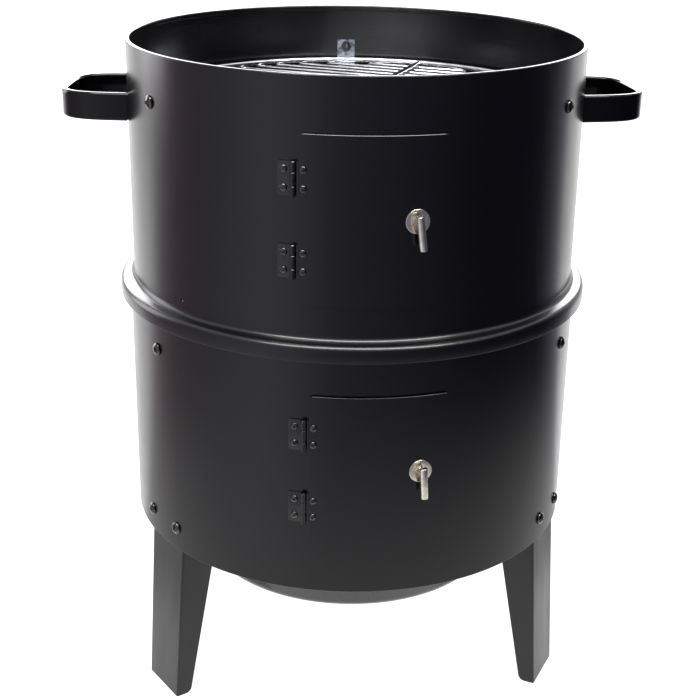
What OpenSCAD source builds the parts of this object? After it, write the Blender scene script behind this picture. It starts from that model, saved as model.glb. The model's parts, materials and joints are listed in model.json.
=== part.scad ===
// Vertical water smoker: two stacked steel barrels on three legs, with a hinged and latched
// fuel door in each barrel, two side handles, two lift-out cooking grates, a water pan and a
// charcoal bowl. Millimetres, +Z up, front of the smoker towards -Y. The origin is on the floor
// on the barrel axis. Angles are measured from the front, positive towards +X.

/* [Barrels] */
// Outside radius of the upper barrel
upper_r = 215; // [210:0.5:220]
// Outside radius of the lower barrel
lower_r = 218.5; // [218:0.5:219]
// Thickness of the barrel and door sheet
sheet = 1.2; // [1:0.1:1.4]
// Height of the rolled top rim
rim_z = 634; // [630:1:660]
// Bottom of the spigot that drops into the lower barrel
spigot_z = 378; // [374:1:384]
// Height where the upper section rests on the lower barrel
seat_z = 404; // [402:1:408]
// Bottom edge of the lower barrel
lower_z = 164.5; // [160:0.5:170]
// Turn of the upper section on the lower one
upper_turn = -2.5; // [-6:0.5:0]

/* [Joint collar] */
// Outside radius of the collar skirt
collar_r = 228; // [226:0.5:230]
// Lower edge of the collar skirt
collar_z = 392.4; // [390:0.2:396]
// Height of the collar above its seat
collar_rise = 10; // [9:0.5:14]

/* [Doors] */
// Width of a door along the barrel
door_w = 125; // [120:1:130]
// Height of a door
door_h = 147; // [144:1:150]
// Width of the door opening along the barrel
opening_w = 111.8; // [108:0.2:113]
// Height of the door opening
opening_h = 128; // [120:1:130]
// Height of the middle of the upper door
upper_door_z = 513; // [508:1:518]
// Height of the middle of the lower door
lower_door_z = 284.7; // [280:0.1:290]
// Hinge axis of the upper door
upper_hinge_deg = -18.7; // [-20:0.1:-17]
// Hinge axis of the lower door
lower_hinge_deg = -15.8; // [-17:0.1:-14]

/* [Hinges] */
// Height of one hinge
hinge_h = 30; // [28:1:32]
// Distance from the door's middle to a hinge's middle
hinge_offset = 35.5; // [34:0.5:38]
// Reach of a hinge leaf from the axis
leaf_w = 14; // [13:0.5:15]
// Outside radius of the hinge knuckles
knuckle_r = 2.5; // [2.4:0.05:2.6]
// Radius of the hinge pin
pin_r = 1.4; // [1.3:0.05:1.5]

/* [Latches] */
// Distance along the barrel from the hinge axis to the latch
latch_s = 103.2; // [102:0.1:105]
// Diameter of the latch washer
washer_d = 21.2; // [20:0.2:24]
// Length of the lever bar
lever_len = 29.7; // [28:0.1:34]
// Radius of the lever bar
lever_r = 3.5; // [3.4:0.1:4]
// Tilt of the upper lever from hanging straight down
upper_lever_tilt = 7.5; // [0:0.5:10]
// Tilt of the lower lever from hanging straight down
lower_lever_tilt = 4; // [0:0.5:10]

/* [Handles] */
// Top of the handles
handle_top_z = 584.5; // [580:0.5:592]
// Height of the handle strap
handle_h = 26; // [24:1:28]
// Thickness of the handle strap
handle_t = 6.5; // [6:0.1:7]
// Half the width of a handle at the barrel
handle_half_w = 54; // [50:1:56]
// Reach of a handle from the barrel axis
handle_reach = 277; // [270:1:282]
// Angle of the left handle
handle_left_deg = -97; // [-100:1:-90]
// Angle of the right handle
handle_right_deg = 94; // [90:1:100]

/* [Legs] */
// Angle of the two front legs to each side of the front
leg_deg = 60.3; // [58:0.1:62]
// Distance of a foot's outer face from the barrel axis
foot_out = 225.2; // [222:0.1:228]
// Distance of the leg's outer face from the axis inside the barrel
leg_top_out = 214.8; // [214.4:0.1:214.9]
// Width of the leg at the foot
foot_w = 57.6; // [54:0.2:60]
// Width of the leg inside the barrel
leg_top_w = 62.3; // [60:0.1:62.4]
// Top of the legs, where the charcoal bowl rests
leg_top_z = 205; // [202:1:208]
// Thickness of the leg steel
leg_t = 1.8; // [1.5:0.1:2]

/* [Grates and bowls] */
// Diameter of the grate ring wire
ring_d = 5.4; // [5:0.1:5.6]
// Diameter of the grate rods
rod_d = 3.6; // [3.4:0.1:4]
// Diameter of the grate cross-bar
bar_d = 5; // [4.6:0.1:5.2]
// Spacing of the cooking grate rods
rod_pitch = 17; // [14:0.5:20]
// Outside radius of the cooking grates
grate_r = 205; // [203:0.5:205]
// Direction of the grate rods
grate_deg = -25; // [-45:1:45]
// Direction of the lower grate's rods
lower_grate_deg = 35; // [-45:1:45]
// Outside radius of the water pan's rolled rim
pan_r = 207.5; // [206:0.5:208]
// Bottom of the water pan
pan_z = 288; // [286:1:296]
// Outside radius of the charcoal bowl's rim
bowl_r = 200; // [196:1:202]
// Bottom of the charcoal bowl
bowl_z = 106; // [104:1:110]
// Outside radius of the charcoal grate
fuel_grate_r = 152.4; // [150:0.1:152.4]
// Underside of the charcoal grate
fuel_grate_z = 126; // [126:1:130]
// Spacing of the charcoal grate rods
fuel_pitch = 14; // [12:1:18]

/* [Hidden] */
$fn = 96;
eps = 0.01;
weld = 0.3;
// How far a cutting shape reaches past a thin wall, and past the end of a plain face
cut_depth = 10;
past = 1;

// Rim hem
hem_t = 4;
hem_h = 5.6;
hem_corner = 1.2;

// M6 bolts with pan heads, and their nuts
bolt_r = 3;
bolt_hole_r = 3.2;
bolt_head_r = 6;
bolt_head_h = 3.5;
nut_af = 10;
nut_h = 4.7;
bolt_tip = 1.5;

// Cross recess and dome of a screw head, as shares of its radius or height
recess_len = 0.9;
recess_w = 0.18;
recess_floor = 0.5;
dome_flat = 1.15;

// Small pan-head screws of the hinges and handles
screw_r = 1.6;
screw_hole_r = 1.7;
screw_head_r = 3.3;
screw_head_h = 1.9;
screw_pitch = 16;
screw_s = 8.4;
screw_tail = 5.5;
door_screw_tail = 3.5;
grip_screw_r = 2;
grip_head_r = 4;
grip_head_h = 2.6;
grip_screw_len = 24;
grip_screw_hole_r = 2.2;

// Grate brackets: the bolt sits this far above the ledge
bracket_w = 18.7;
bracket_t = 1.5;
bracket_ledge = 22;
bracket_drop = 19.5;
bracket_above = 6.5;
bracket_gap = 0.25;
top_bolt_z = 591;
mid_bolt_z = 363.4;
bracket_angles = [-59.2, 58, 180.2];

// Drilled holes in the upper barrel that hold nothing
pinhole_r = 1.5;
pinhole_z = 421;
pinholes = [-50.1, -47.6];

// Door hardware, measured outwards from the barrel's outside radius
leaf_t = 1.2;
door_leaf_t = 1;
door_leaf_gap = 0.35;
panel_in = door_leaf_gap + door_leaf_t;
panel_out = panel_in + sheet;
hinge_axis_out = knuckle_r + 0.3;
door_gap = 4.3;
opening_s = 5.6;
door_corner = 4;
corner_over = 0.12;
opening_corner = 6;
leaf_end = 1;
leaf_h = hinge_h - 0.6;
knuckle_gap = 0.25;
knuckle_h = 9;
knuckle_sweep_r = knuckle_r + 0.4;
pin_clear = 0.06;
latch_lift = 1.5;
spindle_r = 3.3;
spindle_clear = 0.08;
washer_t = 1.5;
lever_axis_out = 12.5;
lever_above = 6.8;
tongue_out = 1.05;
tongue_t = 2;
tongue_w = 12;
tongue_hub = 7;
tongue_crank = 10.5;
tongue_drop = 3.75;
tongue_len = 21;
tongue_bend = 1;
thread_r = 3;
thread_tip = 7.5;

// Legs
leg_bend_z = 160;
flange_foot = 15.7;
flange_top = 36;
leg_bolt_z = 187;
leg_bolt_deg = 6.3;
leg_nut_r = 213.4;
leg_angles = [-leg_deg, leg_deg, 180];
foot_corner = 5;
foot_corner_over = 0.25;

// Space between the grate ring and the outermost rod
rod_clear = 6;

// Handle loop: superellipse outline from a root inside the wall, and the groove round it
handle_root = 205;
handle_power = 3.8;
handle_steps = 14;
groove_r = 5;
groove_depth = 3;
groove_half = 26;
groove_drop = 12.5;

// Joint collar: fillet, slope and shoulder of its pressed profile
collar_root = 6;
collar_slope = 5;
collar_shoulder = 6;
collar_crown = 3.4;

// Pan and bowl sheet
pan_t = 1.2;
pan_bottom_r = 142;
pan_corner = 14;
pan_lean = 38;
pan_roll = 3;
rest_gap = 0.05;
bowl_bottom_r = 142;
bowl_corner = 10;
bowl_lean = 10.8;
bowl_roll = 2;

black = [0.07, 0.07, 0.08];
dark = [0.12, 0.12, 0.13];
hardware = [0.05, 0.05, 0.05];
steel = [0.78, 0.77, 0.75];
zinc = [0.6, 0.63, 0.66];
enamel = [0.1, 0.1, 0.11];

ledge_top_z = top_bolt_z - bracket_drop;
ledge_mid_z = mid_bolt_z - bracket_drop;
pan_rest_z = ledge_mid_z + rest_gap;
pan_rim_top_z = pan_rest_z + 2 * pan_roll;

// ---------- helpers ----------

// Angle that an arc of length s takes up at radius r
function arc_deg(s, r) = s / r * 180 / PI;

// Points along an arc round [cx, cy]
function arc_points(cx, cy, r, from, to, steps) = [
    for (i = [0 : steps])
        let (a = from + (to - from) * i / steps)
        [cx + r * cos(a), cy + r * sin(a)]
];

// Outline of a centred rectangle with round corners
function round_rect_points(w, h, r) = [
    for (corner = [[1, 1], [-1, 1], [-1, -1], [1, -1]])
        let (start = corner[1] > 0 ? (corner[0] > 0 ? 0 : 90) : (corner[0] < 0 ? 180 : 270))
        each arc_points(corner[0] * (w / 2 - r), corner[1] * (h / 2 - r), r, start, start + 90, 6)
];

// Puts its children at an angle and height, with +Z outwards, +X to the right and +Y up
module outward(deg, z) {
    rotate([0, 0, deg])
    translate([0, 0, z])
    rotate([90, 0, 0])
    children();
}

// Part of an upright ring from one angle to another
module ring_part(r_in, r_out, from, to, z, h) {
    rotate([0, 0, from - 90])
    rotate_extrude(angle = to - from)
    translate([r_in, z])
    square([r_out - r_in, h]);
}

// Flat rectangle with round corners, centred
module round_rect(w, h, r) {
    square([w - 2 * r, h], center = true);
    square([w, h - 2 * r], center = true);
    for (x = [-1, 1], y = [-1, 1])
        translate([x * (w / 2 - r), y * (h / 2 - r)])
        circle(r = r);
}

// Domed screw head with a cross recess; its underside is at the origin, facing -Z
module pan_head(r, h) {
    dome_r = (r * r + h * h) / (2 * h) * dome_flat;
    difference() {
        intersection() {
            cylinder(r = r, h = h);
            translate([0, 0, h - dome_r])
            sphere(r = dome_r);
        }
        for (turn = [0, 90])
            rotate([0, 0, turn])
            translate([-r * recess_len / 2, -r * recess_w / 2, h * recess_floor])
            cube([r * recess_len, r * recess_w, h]);
    }
}

// Hexagon nut with its outer face at the origin, reaching towards -Z
module hex_nut(bore_r) {
    translate([0, 0, -nut_h])
    difference() {
        cylinder(r = nut_af / sqrt(3), h = nut_h, $fn = 6);
        translate([0, 0, -past])
        cylinder(r = bore_r, h = nut_h + 2 * past);
    }
}

// ---------- grate brackets, bolts and nuts ----------

module wall_holes(wall_r, angles, z, r, turn) {
    for (a = angles)
        outward(a + turn, z)
        translate([0, 0, wall_r - cut_depth])
        cylinder(r = r, h = 2 * cut_depth);
}

module bracket(deg, bolt_z, wall_r) {
    out = wall_r - bracket_gap;
    ledge = bolt_z - bracket_drop;
    difference() {
        rotate([0, 0, deg])
        translate([-bracket_w / 2, -out, ledge - bracket_t]) {
            cube([bracket_w, bracket_t, bracket_drop + bracket_above + bracket_t]);
            cube([bracket_w, bracket_ledge, bracket_t]);
        }
        outward(deg, bolt_z)
        translate([0, 0, out - 2 * bracket_t])
        cylinder(r = bolt_hole_r, h = 3 * bracket_t);
    }
}

module bolts(angles, z, head_out, tip_r, turn) {
    for (a = angles)
        outward(a + turn, z) {
            translate([0, 0, tip_r])
            cylinder(r = bolt_r, h = head_out - tip_r + eps);
            translate([0, 0, head_out])
            pan_head(bolt_head_r, bolt_head_h);
        }
}

module nuts(angles, z, out, turn) {
    for (a = angles)
        outward(a + turn, z)
        translate([0, 0, out])
        hex_nut(bolt_r);
}

// ---------- doors, hinges and latches, for a barrel of outside radius r ----------

module door_opening(r, deg, z) {
    mid = deg + arc_deg(opening_s + opening_w / 2, r);
    outward(mid, z)
    translate([0, 0, r - 2 * cut_depth])
    linear_extrude(4 * cut_depth)
    polygon(round_rect_points(2 * r * sin(arc_deg(opening_w / 2, r)), opening_h,
        opening_corner));
    frame_screw_holes(r, deg, z);
}

module at_hinges(z) {
    for (side = [-1, 1])
        translate([0, 0, z + side * hinge_offset])
        children();
}

module hinge_screw_places(r, deg, z, s) {
    for (side = [-1, 1], row = [-1, 1])
        outward(deg + arc_deg(s, r), z + side * hinge_offset + row * screw_pitch / 2)
        children();
}

module frame_screw_holes(r, deg, z) {
    hinge_screw_places(r, deg, z, -screw_s)
    translate([0, 0, r - cut_depth])
    cylinder(r = screw_hole_r, h = 2 * cut_depth);
}

module hinge_axis(r, deg) {
    rotate([0, 0, deg])
    translate([0, -r - hinge_axis_out, 0])
    children();
}

module frame_leaves(r, deg, z) {
    at_hinges(z)
    difference() {
        union() {
            difference() {
                ring_part(r, r + leaf_t, deg - arc_deg(leaf_w, r), deg - arc_deg(leaf_end, r),
                    -leaf_h / 2, leaf_h);
                hinge_axis(r, deg)
                translate([0, 0, -hinge_h / 2 + knuckle_h])
                cylinder(r = knuckle_sweep_r, h = hinge_h - 2 * knuckle_h);
            }
            for (low = [-hinge_h / 2, hinge_h / 2 - knuckle_h])
                hinge_axis(r, deg)
                translate([0, 0, low])
                cylinder(r = knuckle_r, h = knuckle_h);
        }
        hinge_axis(r, deg)
        translate([0, 0, -hinge_h])
        cylinder(r = pin_r, h = 2 * hinge_h);
        for (row = [-1, 1])
            outward(deg - arc_deg(screw_s, r), row * screw_pitch / 2)
            translate([0, 0, r - cut_depth])
            cylinder(r = screw_hole_r, h = 2 * cut_depth);
    }
}

module door_leaves(r, deg, z) {
    inner = r + door_leaf_gap;
    middle_h = hinge_h - 2 * (knuckle_h + knuckle_gap);
    at_hinges(z)
    difference() {
        union() {
            difference() {
                ring_part(inner, inner + door_leaf_t, deg + arc_deg(leaf_end, r),
                    deg + arc_deg(leaf_w, r), -leaf_h / 2, leaf_h);
                for (low = [-hinge_h, middle_h / 2])
                    hinge_axis(r, deg)
                    translate([0, 0, low])
                    cylinder(r = knuckle_sweep_r, h = hinge_h - middle_h / 2);
            }
            hinge_axis(r, deg)
            translate([0, 0, -middle_h / 2])
            cylinder(r = knuckle_r, h = middle_h);
        }
        hinge_axis(r, deg)
        translate([0, 0, -hinge_h])
        cylinder(r = pin_r + pin_clear, h = 2 * hinge_h);
        for (row = [-1, 1])
            outward(deg + arc_deg(screw_s, r), row * screw_pitch / 2)
            translate([0, 0, r - cut_depth])
            cylinder(r = screw_hole_r, h = 2 * cut_depth);
    }
}

module hinge_pins(r, deg, z) {
    at_hinges(z)
    hinge_axis(r, deg)
    translate([0, 0, -hinge_h / 2])
    cylinder(r = pin_r, h = hinge_h);
}

module frame_screws(r, deg, z) {
    hinge_screw_places(r, deg, z, -screw_s) {
        translate([0, 0, r - screw_tail])
        cylinder(r = screw_r, h = screw_tail + leaf_t + eps);
        translate([0, 0, r + leaf_t])
        pan_head(screw_head_r, screw_head_h);
    }
}

module door_screws(r, deg, z) {
    hinge_screw_places(r, deg, z, screw_s) {
        translate([0, 0, r - door_screw_tail])
        cylinder(r = screw_r, h = door_screw_tail + panel_out + eps);
        translate([0, 0, r + panel_out])
        pan_head(screw_head_r, screw_head_h);
    }
}

module door_panel(r, deg, z) {
    left = deg + arc_deg(door_gap, r);
    right = deg + arc_deg(door_gap + door_w, r);
    inset = arc_deg(door_corner, r);
    difference() {
        ring_part(r + panel_in, r + panel_out, left, right, z - door_h / 2, door_h);
        for (up = [-1, 1]) {
            outward(left + inset, z + up * (door_h / 2 - door_corner))
            corner_cutter(-1, up, r);
            outward(right - inset, z + up * (door_h / 2 - door_corner))
            corner_cutter(1, up, r);
        }
        hinge_screw_places(r, deg, z, screw_s)
        translate([0, 0, r])
        cylinder(r = screw_hole_r, h = cut_depth);
        latch_place(r, deg, z)
        translate([0, 0, r])
        cylinder(r = spindle_r + spindle_clear, h = cut_depth);
    }
}

// Rounds one corner of a door sheet; side and up are the corner's directions
module corner_cutter(side, up, r) {
    far = door_corner + past;
    translate([0, 0, r - cut_depth])
    linear_extrude(2 * cut_depth)
    difference() {
        translate([side > 0 ? 0 : -far, up > 0 ? 0 : -far])
        square(far);
        circle(r = door_corner + corner_over);
    }
}

module latch_place(r, deg, z) {
    outward(deg + arc_deg(latch_s, r), z + latch_lift)
    children();
}

module latch_washer(r, deg, z) {
    latch_place(r, deg, z)
    translate([0, 0, r + panel_out])
    difference() {
        cylinder(d = washer_d, h = washer_t);
        translate([0, 0, -past])
        cylinder(r = spindle_r + spindle_clear, h = washer_t + 2 * past);
    }
}

module latch_lever(r, deg, z, tilt) {
    latch_place(r, deg, z)
    rotate([0, 0, tilt]) {
        translate([0, 0, r - thread_tip])
        cylinder(r = thread_r, h = thread_tip + tongue_out + eps);
        translate([0, 0, r + tongue_out])
        cylinder(r = spindle_r, h = lever_axis_out - tongue_out);
        translate([0, lever_above, r + lever_axis_out])
        rotate([90, 0, 0])
        cylinder(r = lever_r, h = lever_len);
    }
}

module latch_tongue(r, deg, z, tilt) {
    face = r + tongue_out;
    latch_place(r, deg, z)
    rotate([0, 0, tilt])
    difference() {
        translate([-tongue_w / 2, 0, 0])
        rotate([90, 0, 90])
        linear_extrude(tongue_w)
        polygon([
            [tongue_hub, face], [tongue_hub, face - tongue_t],
            [-tongue_hub, face - tongue_t], [-tongue_crank, face - tongue_drop - tongue_t],
            [-tongue_len, face - tongue_drop - tongue_t], [-tongue_len, face - tongue_drop],
            [-tongue_crank + tongue_bend, face - tongue_drop], [-tongue_hub + tongue_bend, face]
        ]);
        translate([0, 0, r - cut_depth])
        cylinder(r = thread_r, h = 2 * cut_depth);
    }
}

module latch_nut(r, deg, z, tilt) {
    latch_place(r, deg, z)
    rotate([0, 0, tilt])
    translate([0, 0, r + tongue_out - tongue_t])
    hex_nut(thread_r);
}

// ---------- handles ----------

// Half outline of a rounded-square loop: reach along +X, half width along Y
function loop_points(reach, half_w, power, steps) = [
    for (i = [-steps : steps])
        let (a = 90 * i / steps, c = cos(a), s = sin(a))
        [reach * pow(abs(c), 2 / power), half_w * sign(s) * pow(abs(s), 2 / power)]
];

module handle(deg) {
    reach = handle_reach - handle_root;
    difference() {
        rotate([0, 0, deg - 90])
        difference() {
            translate([handle_root, 0, handle_top_z - handle_h])
            linear_extrude(handle_h)
            difference() {
                polygon(loop_points(reach, handle_half_w, handle_power, handle_steps));
                polygon(loop_points(reach - handle_t, handle_half_w - handle_t, handle_power,
                    handle_steps));
            }
            translate([handle_reach + groove_r - groove_depth, 0, handle_top_z - groove_drop]) {
                rotate([90, 0, 0])
                cylinder(r = groove_r, h = 2 * groove_half, center = true);
                for (y = [-groove_half, groove_half])
                    translate([0, y, 0])
                    sphere(r = groove_r);
            }
            grip_screw_places()
            cylinder(r = grip_screw_r, h = grip_screw_len);
        }
        translate([0, 0, handle_top_z - 2 * handle_h])
        cylinder(r = upper_r, h = 4 * handle_h);
    }
}

// Screws run along the handle's own direction, from inside the barrel
module grip_screw_places() {
    inner_r = upper_r - sheet;
    side = handle_half_w - handle_t / 2;
    head_x = sqrt(pow(inner_r, 2) - pow(side + grip_head_r, 2));
    for (y = [-side, side])
        translate([head_x, y, handle_top_z - handle_h / 2])
        rotate([0, 90, 0])
        children();
}

module at_handles() {
    for (deg = [handle_left_deg, handle_right_deg])
        rotate([0, 0, deg - 90])
        children();
}

// ---------- legs ----------

module leg(deg) {
    rotate([0, 0, deg - 90])
    difference() {
        leg_body(0);
        leg_body(leg_t);
        for (side = [-1, 1])
            rotate([0, 0, side * leg_bolt_deg])
            translate([leg_top_out - cut_depth, 0, leg_bolt_z])
            rotate([0, 90, 0])
            cylinder(r = bolt_hole_r, h = 2 * cut_depth);
    }
}

// Solid of the channel's outside; a shrink cuts out its inside
module leg_body(shrink) {
    over = shrink > 0 ? past : 0;
    inward = shrink > 0 ? flange_top : 0;
    intersection() {
        rotate([90, 0, 0])
        translate([0, 0, -leg_top_w])
        linear_extrude(2 * leg_top_w)
        difference() {
            polygon([
                [foot_out - shrink, -over], [leg_top_out - shrink, leg_bend_z],
                [leg_top_out - shrink, leg_top_z + over],
                [leg_top_out - flange_top - inward, leg_top_z + over],
                [leg_top_out - flange_top - inward, leg_bend_z],
                [foot_out - flange_foot - inward, -over]
            ]);
            if (shrink == 0)
                foot_round();
        }
        translate([foot_out + cut_depth, 0, 0])
        rotate([90, 0, -90])
        linear_extrude(foot_out)
        polygon([
            [foot_w / 2 - shrink, -over], [leg_top_w / 2 - shrink, lower_z],
            [leg_top_w / 2 - shrink, leg_top_z + over], [-leg_top_w / 2 + shrink, leg_top_z + over],
            [-leg_top_w / 2 + shrink, lower_z], [-foot_w / 2 + shrink, -over]
        ]);
    }
}

// Rounds the inner bottom corner of the leg's flanges
module foot_round() {
    corner = foot_out - flange_foot;
    difference() {
        translate([corner - 2 * past, -past])
        square([foot_corner + 2 * past, foot_corner + past]);
        translate([corner + foot_corner, foot_corner])
        circle(r = foot_corner + foot_corner_over);
    }
}

// ---------- grates, pan and bowl ----------

// Welded wire grate: a ring and one cross-bar on top of parallel rods. low_z is its underside
module grate(out_r, low_z, pitch, deg) {
    ring_r = out_r - ring_d / 2;
    rod_z = low_z + rod_d / 2;
    ring_z = rod_z + rod_d / 2 + ring_d / 2 - weld;
    bar_z = rod_z + rod_d / 2 + bar_d / 2 - weld;
    count = floor((ring_r - rod_clear) / pitch + 0.5);
    translate([0, 0, ring_z])
    rotate_extrude()
    translate([ring_r, 0])
    circle(d = ring_d);
    rotate([0, 0, deg]) {
        translate([0, ring_r, bar_z])
        rotate([90, 0, 0])
        cylinder(d = bar_d, h = 2 * ring_r);
        for (k = [-count : count - 1])
            let (y = (k + 0.5) * pitch, half = sqrt(pow(out_r, 2) - pow(abs(y) + rod_d / 2, 2)))
            translate([-half, y, rod_z])
            rotate([0, 90, 0])
            cylinder(d = rod_d, h = 2 * half, $fn = 24);
    }
}

// Half section of a dished pan: flat bottom, round corner, straight leaning wall
function dish_points(bottom_r, low_z, corner, lean, top_z, t) =
    let (
        cz = low_z + corner,
        end = [for (r = [corner, corner - t])
            [bottom_r + r * cos(lean), cz - r * sin(lean)]],
        top = [for (e = end)
            [e[0] + (top_z - e[1]) * tan(lean), top_z]]
    )
    concat(
        [[0, low_z]],
        arc_points(bottom_r, cz, corner, -90, -lean, 8),
        [top[0], top[1]],
        arc_points(bottom_r, cz, corner - t, -lean, -90, 8),
        [[0, low_z + t]]
    );

// Dish with a flat rim that rests at rest_z and ends in a roll
module rimmed_dish(bottom_r, low_z, corner, lean, rest_z, rim_r, roll) {
    wall_low = low_z + corner * (1 - sin(lean));
    wall_top_r = bottom_r + corner * cos(lean) + (rest_z - wall_low) * tan(lean);
    rotate_extrude()
    union() {
        polygon(dish_points(bottom_r, low_z, corner, lean, rest_z + pan_t, pan_t));
        translate([wall_top_r - pan_t / 2, rest_z])
        square([rim_r - roll - wall_top_r + pan_t / 2, pan_t]);
        translate([rim_r - roll, rest_z + roll])
        circle(r = roll);
    }
}

// ---------- the pieces of the upper section ----------

module upper_barrel() {
    color(black)
    difference() {
        rotate_extrude()
        union() {
            translate([upper_r - sheet, spigot_z])
            square([sheet, rim_z - spigot_z - hem_h / 2]);
            translate([upper_r - hem_t / 2, rim_z - hem_h / 2])
            round_rect(hem_t, hem_h, hem_corner);
        }
        door_opening(upper_r, upper_hinge_deg, upper_door_z);
        wall_holes(upper_r, bracket_angles, top_bolt_z, bolt_hole_r, upper_turn);
        wall_holes(upper_r, pinholes, pinhole_z, pinhole_r, upper_turn);
        at_handles()
        grip_screw_places()
        cylinder(r = grip_screw_hole_r, h = grip_screw_len);
    }
}

module joint_collar() {
    skirt_in = collar_r - sheet;
    top = seat_z + collar_rise;
    corner_r = collar_r - collar_shoulder;
    corner_in = collar_shoulder - sheet;
    color(black)
    rotate_extrude()
    polygon(concat(
        arc_points(upper_r + collar_root, top, collar_root, 180, 270 - collar_slope, 6),
        arc_points(corner_r, seat_z + collar_crown - collar_shoulder, collar_shoulder,
            90 - collar_slope, 0, 8),
        [[collar_r, collar_z], [skirt_in, collar_z]],
        arc_points(corner_r, seat_z - corner_in, corner_in, 0, 90, 8),
        [[upper_r, seat_z]]
    ));
}

module handle_left() {
    color(black) handle(handle_left_deg);
}

module handle_right() {
    color(black) handle(handle_right_deg);
}

module handle_screws() {
    color(hardware)
    at_handles()
    grip_screw_places() {
        cylinder(r = grip_screw_r, h = grip_screw_len);
        rotate([180, 0, 0])
        pan_head(grip_head_r, grip_head_h);
    }
}

module top_bracket_left() {
    color(zinc) bracket(bracket_angles[0] + upper_turn, top_bolt_z, upper_r - sheet);
}

module top_bracket_right() {
    color(zinc) bracket(bracket_angles[1] + upper_turn, top_bolt_z, upper_r - sheet);
}

module top_bracket_rear() {
    color(zinc) bracket(bracket_angles[2] + upper_turn, top_bolt_z, upper_r - sheet);
}

module top_bracket_bolts() {
    nut_out = upper_r - sheet - bracket_gap - bracket_t;
    color(hardware)
    bolts(bracket_angles, top_bolt_z, upper_r, nut_out - nut_h - bolt_tip, upper_turn);
}

module top_bracket_nuts() {
    color(hardware)
    nuts(bracket_angles, top_bolt_z, upper_r - sheet - bracket_gap - bracket_t, upper_turn);
}

module upper_hinge_frame_leaves() {
    color(hardware) frame_leaves(upper_r, upper_hinge_deg, upper_door_z);
}

module upper_hinge_pins() {
    color(hardware) hinge_pins(upper_r, upper_hinge_deg, upper_door_z);
}

module upper_hinge_frame_screws() {
    color(hardware) frame_screws(upper_r, upper_hinge_deg, upper_door_z);
}

module upper_door() {
    color(black) door_panel(upper_r, upper_hinge_deg, upper_door_z);
}

module upper_hinge_door_leaves() {
    color(hardware) door_leaves(upper_r, upper_hinge_deg, upper_door_z);
}

module upper_hinge_door_screws() {
    color(hardware) door_screws(upper_r, upper_hinge_deg, upper_door_z);
}

module upper_latch_washer() {
    color(steel) latch_washer(upper_r, upper_hinge_deg, upper_door_z);
}

module upper_latch_lever() {
    color(steel) latch_lever(upper_r, upper_hinge_deg, upper_door_z, upper_lever_tilt);
}

module upper_latch_tongue() {
    color(zinc) latch_tongue(upper_r, upper_hinge_deg, upper_door_z, upper_lever_tilt);
}

module upper_latch_nut() {
    color(zinc) latch_nut(upper_r, upper_hinge_deg, upper_door_z, upper_lever_tilt);
}

module upper_grate() {
    color(steel) grate(grate_r, ledge_top_z, rod_pitch, grate_deg);
}

// ---------- the pieces of the lower section ----------

module lower_barrel() {
    color(black)
    difference() {
        rotate_extrude()
        translate([lower_r - sheet, lower_z])
        square([sheet, seat_z - lower_z]);
        door_opening(lower_r, lower_hinge_deg, lower_door_z);
        wall_holes(lower_r, leg_angles, mid_bolt_z, bolt_hole_r, 0);
        for (side = [-1, 1])
            wall_holes(lower_r, leg_angles, leg_bolt_z, bolt_hole_r, side * leg_bolt_deg);
    }
}

module leg_left() {
    color(dark) leg(leg_angles[0]);
}

module leg_right() {
    color(dark) leg(leg_angles[1]);
}

module leg_rear() {
    color(dark) leg(leg_angles[2]);
}

module leg_bolts() {
    color(hardware)
    for (side = [-1, 1])
        bolts(leg_angles, leg_bolt_z, lower_r, leg_nut_r - nut_h - bolt_tip, side * leg_bolt_deg);
}

module leg_nuts() {
    color(hardware)
    for (side = [-1, 1])
        nuts(leg_angles, leg_bolt_z, leg_nut_r, side * leg_bolt_deg);
}

module mid_bracket_left() {
    color(zinc) bracket(leg_angles[0], mid_bolt_z, lower_r - sheet);
}

module mid_bracket_right() {
    color(zinc) bracket(leg_angles[1], mid_bolt_z, lower_r - sheet);
}

module mid_bracket_rear() {
    color(zinc) bracket(leg_angles[2], mid_bolt_z, lower_r - sheet);
}

module mid_bracket_bolts() {
    nut_out = lower_r - sheet - bracket_gap - bracket_t;
    color(hardware)
    bolts(leg_angles, mid_bolt_z, lower_r, nut_out - nut_h - bolt_tip, 0);
}

module mid_bracket_nuts() {
    color(hardware)
    nuts(leg_angles, mid_bolt_z, lower_r - sheet - bracket_gap - bracket_t, 0);
}

module lower_hinge_frame_leaves() {
    color(hardware) frame_leaves(lower_r, lower_hinge_deg, lower_door_z);
}

module lower_hinge_pins() {
    color(hardware) hinge_pins(lower_r, lower_hinge_deg, lower_door_z);
}

module lower_hinge_frame_screws() {
    color(hardware) frame_screws(lower_r, lower_hinge_deg, lower_door_z);
}

module lower_door() {
    color(black) door_panel(lower_r, lower_hinge_deg, lower_door_z);
}

module lower_hinge_door_leaves() {
    color(hardware) door_leaves(lower_r, lower_hinge_deg, lower_door_z);
}

module lower_hinge_door_screws() {
    color(hardware) door_screws(lower_r, lower_hinge_deg, lower_door_z);
}

module lower_latch_washer() {
    color(steel) latch_washer(lower_r, lower_hinge_deg, lower_door_z);
}

module lower_latch_lever() {
    color(steel) latch_lever(lower_r, lower_hinge_deg, lower_door_z, lower_lever_tilt);
}

module lower_latch_tongue() {
    color(zinc) latch_tongue(lower_r, lower_hinge_deg, lower_door_z, lower_lever_tilt);
}

module lower_latch_nut() {
    color(zinc) latch_nut(lower_r, lower_hinge_deg, lower_door_z, lower_lever_tilt);
}

module water_pan() {
    color(enamel)
    rimmed_dish(pan_bottom_r, pan_z, pan_corner, pan_lean, pan_rest_z, pan_r, pan_roll);
}

module lower_grate() {
    color(steel) grate(grate_r, pan_rim_top_z, rod_pitch, lower_grate_deg);
}

module charcoal_bowl() {
    color(enamel)
    rimmed_dish(bowl_bottom_r, bowl_z, bowl_corner, bowl_lean, leg_top_z, bowl_r, bowl_roll);
}

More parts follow.
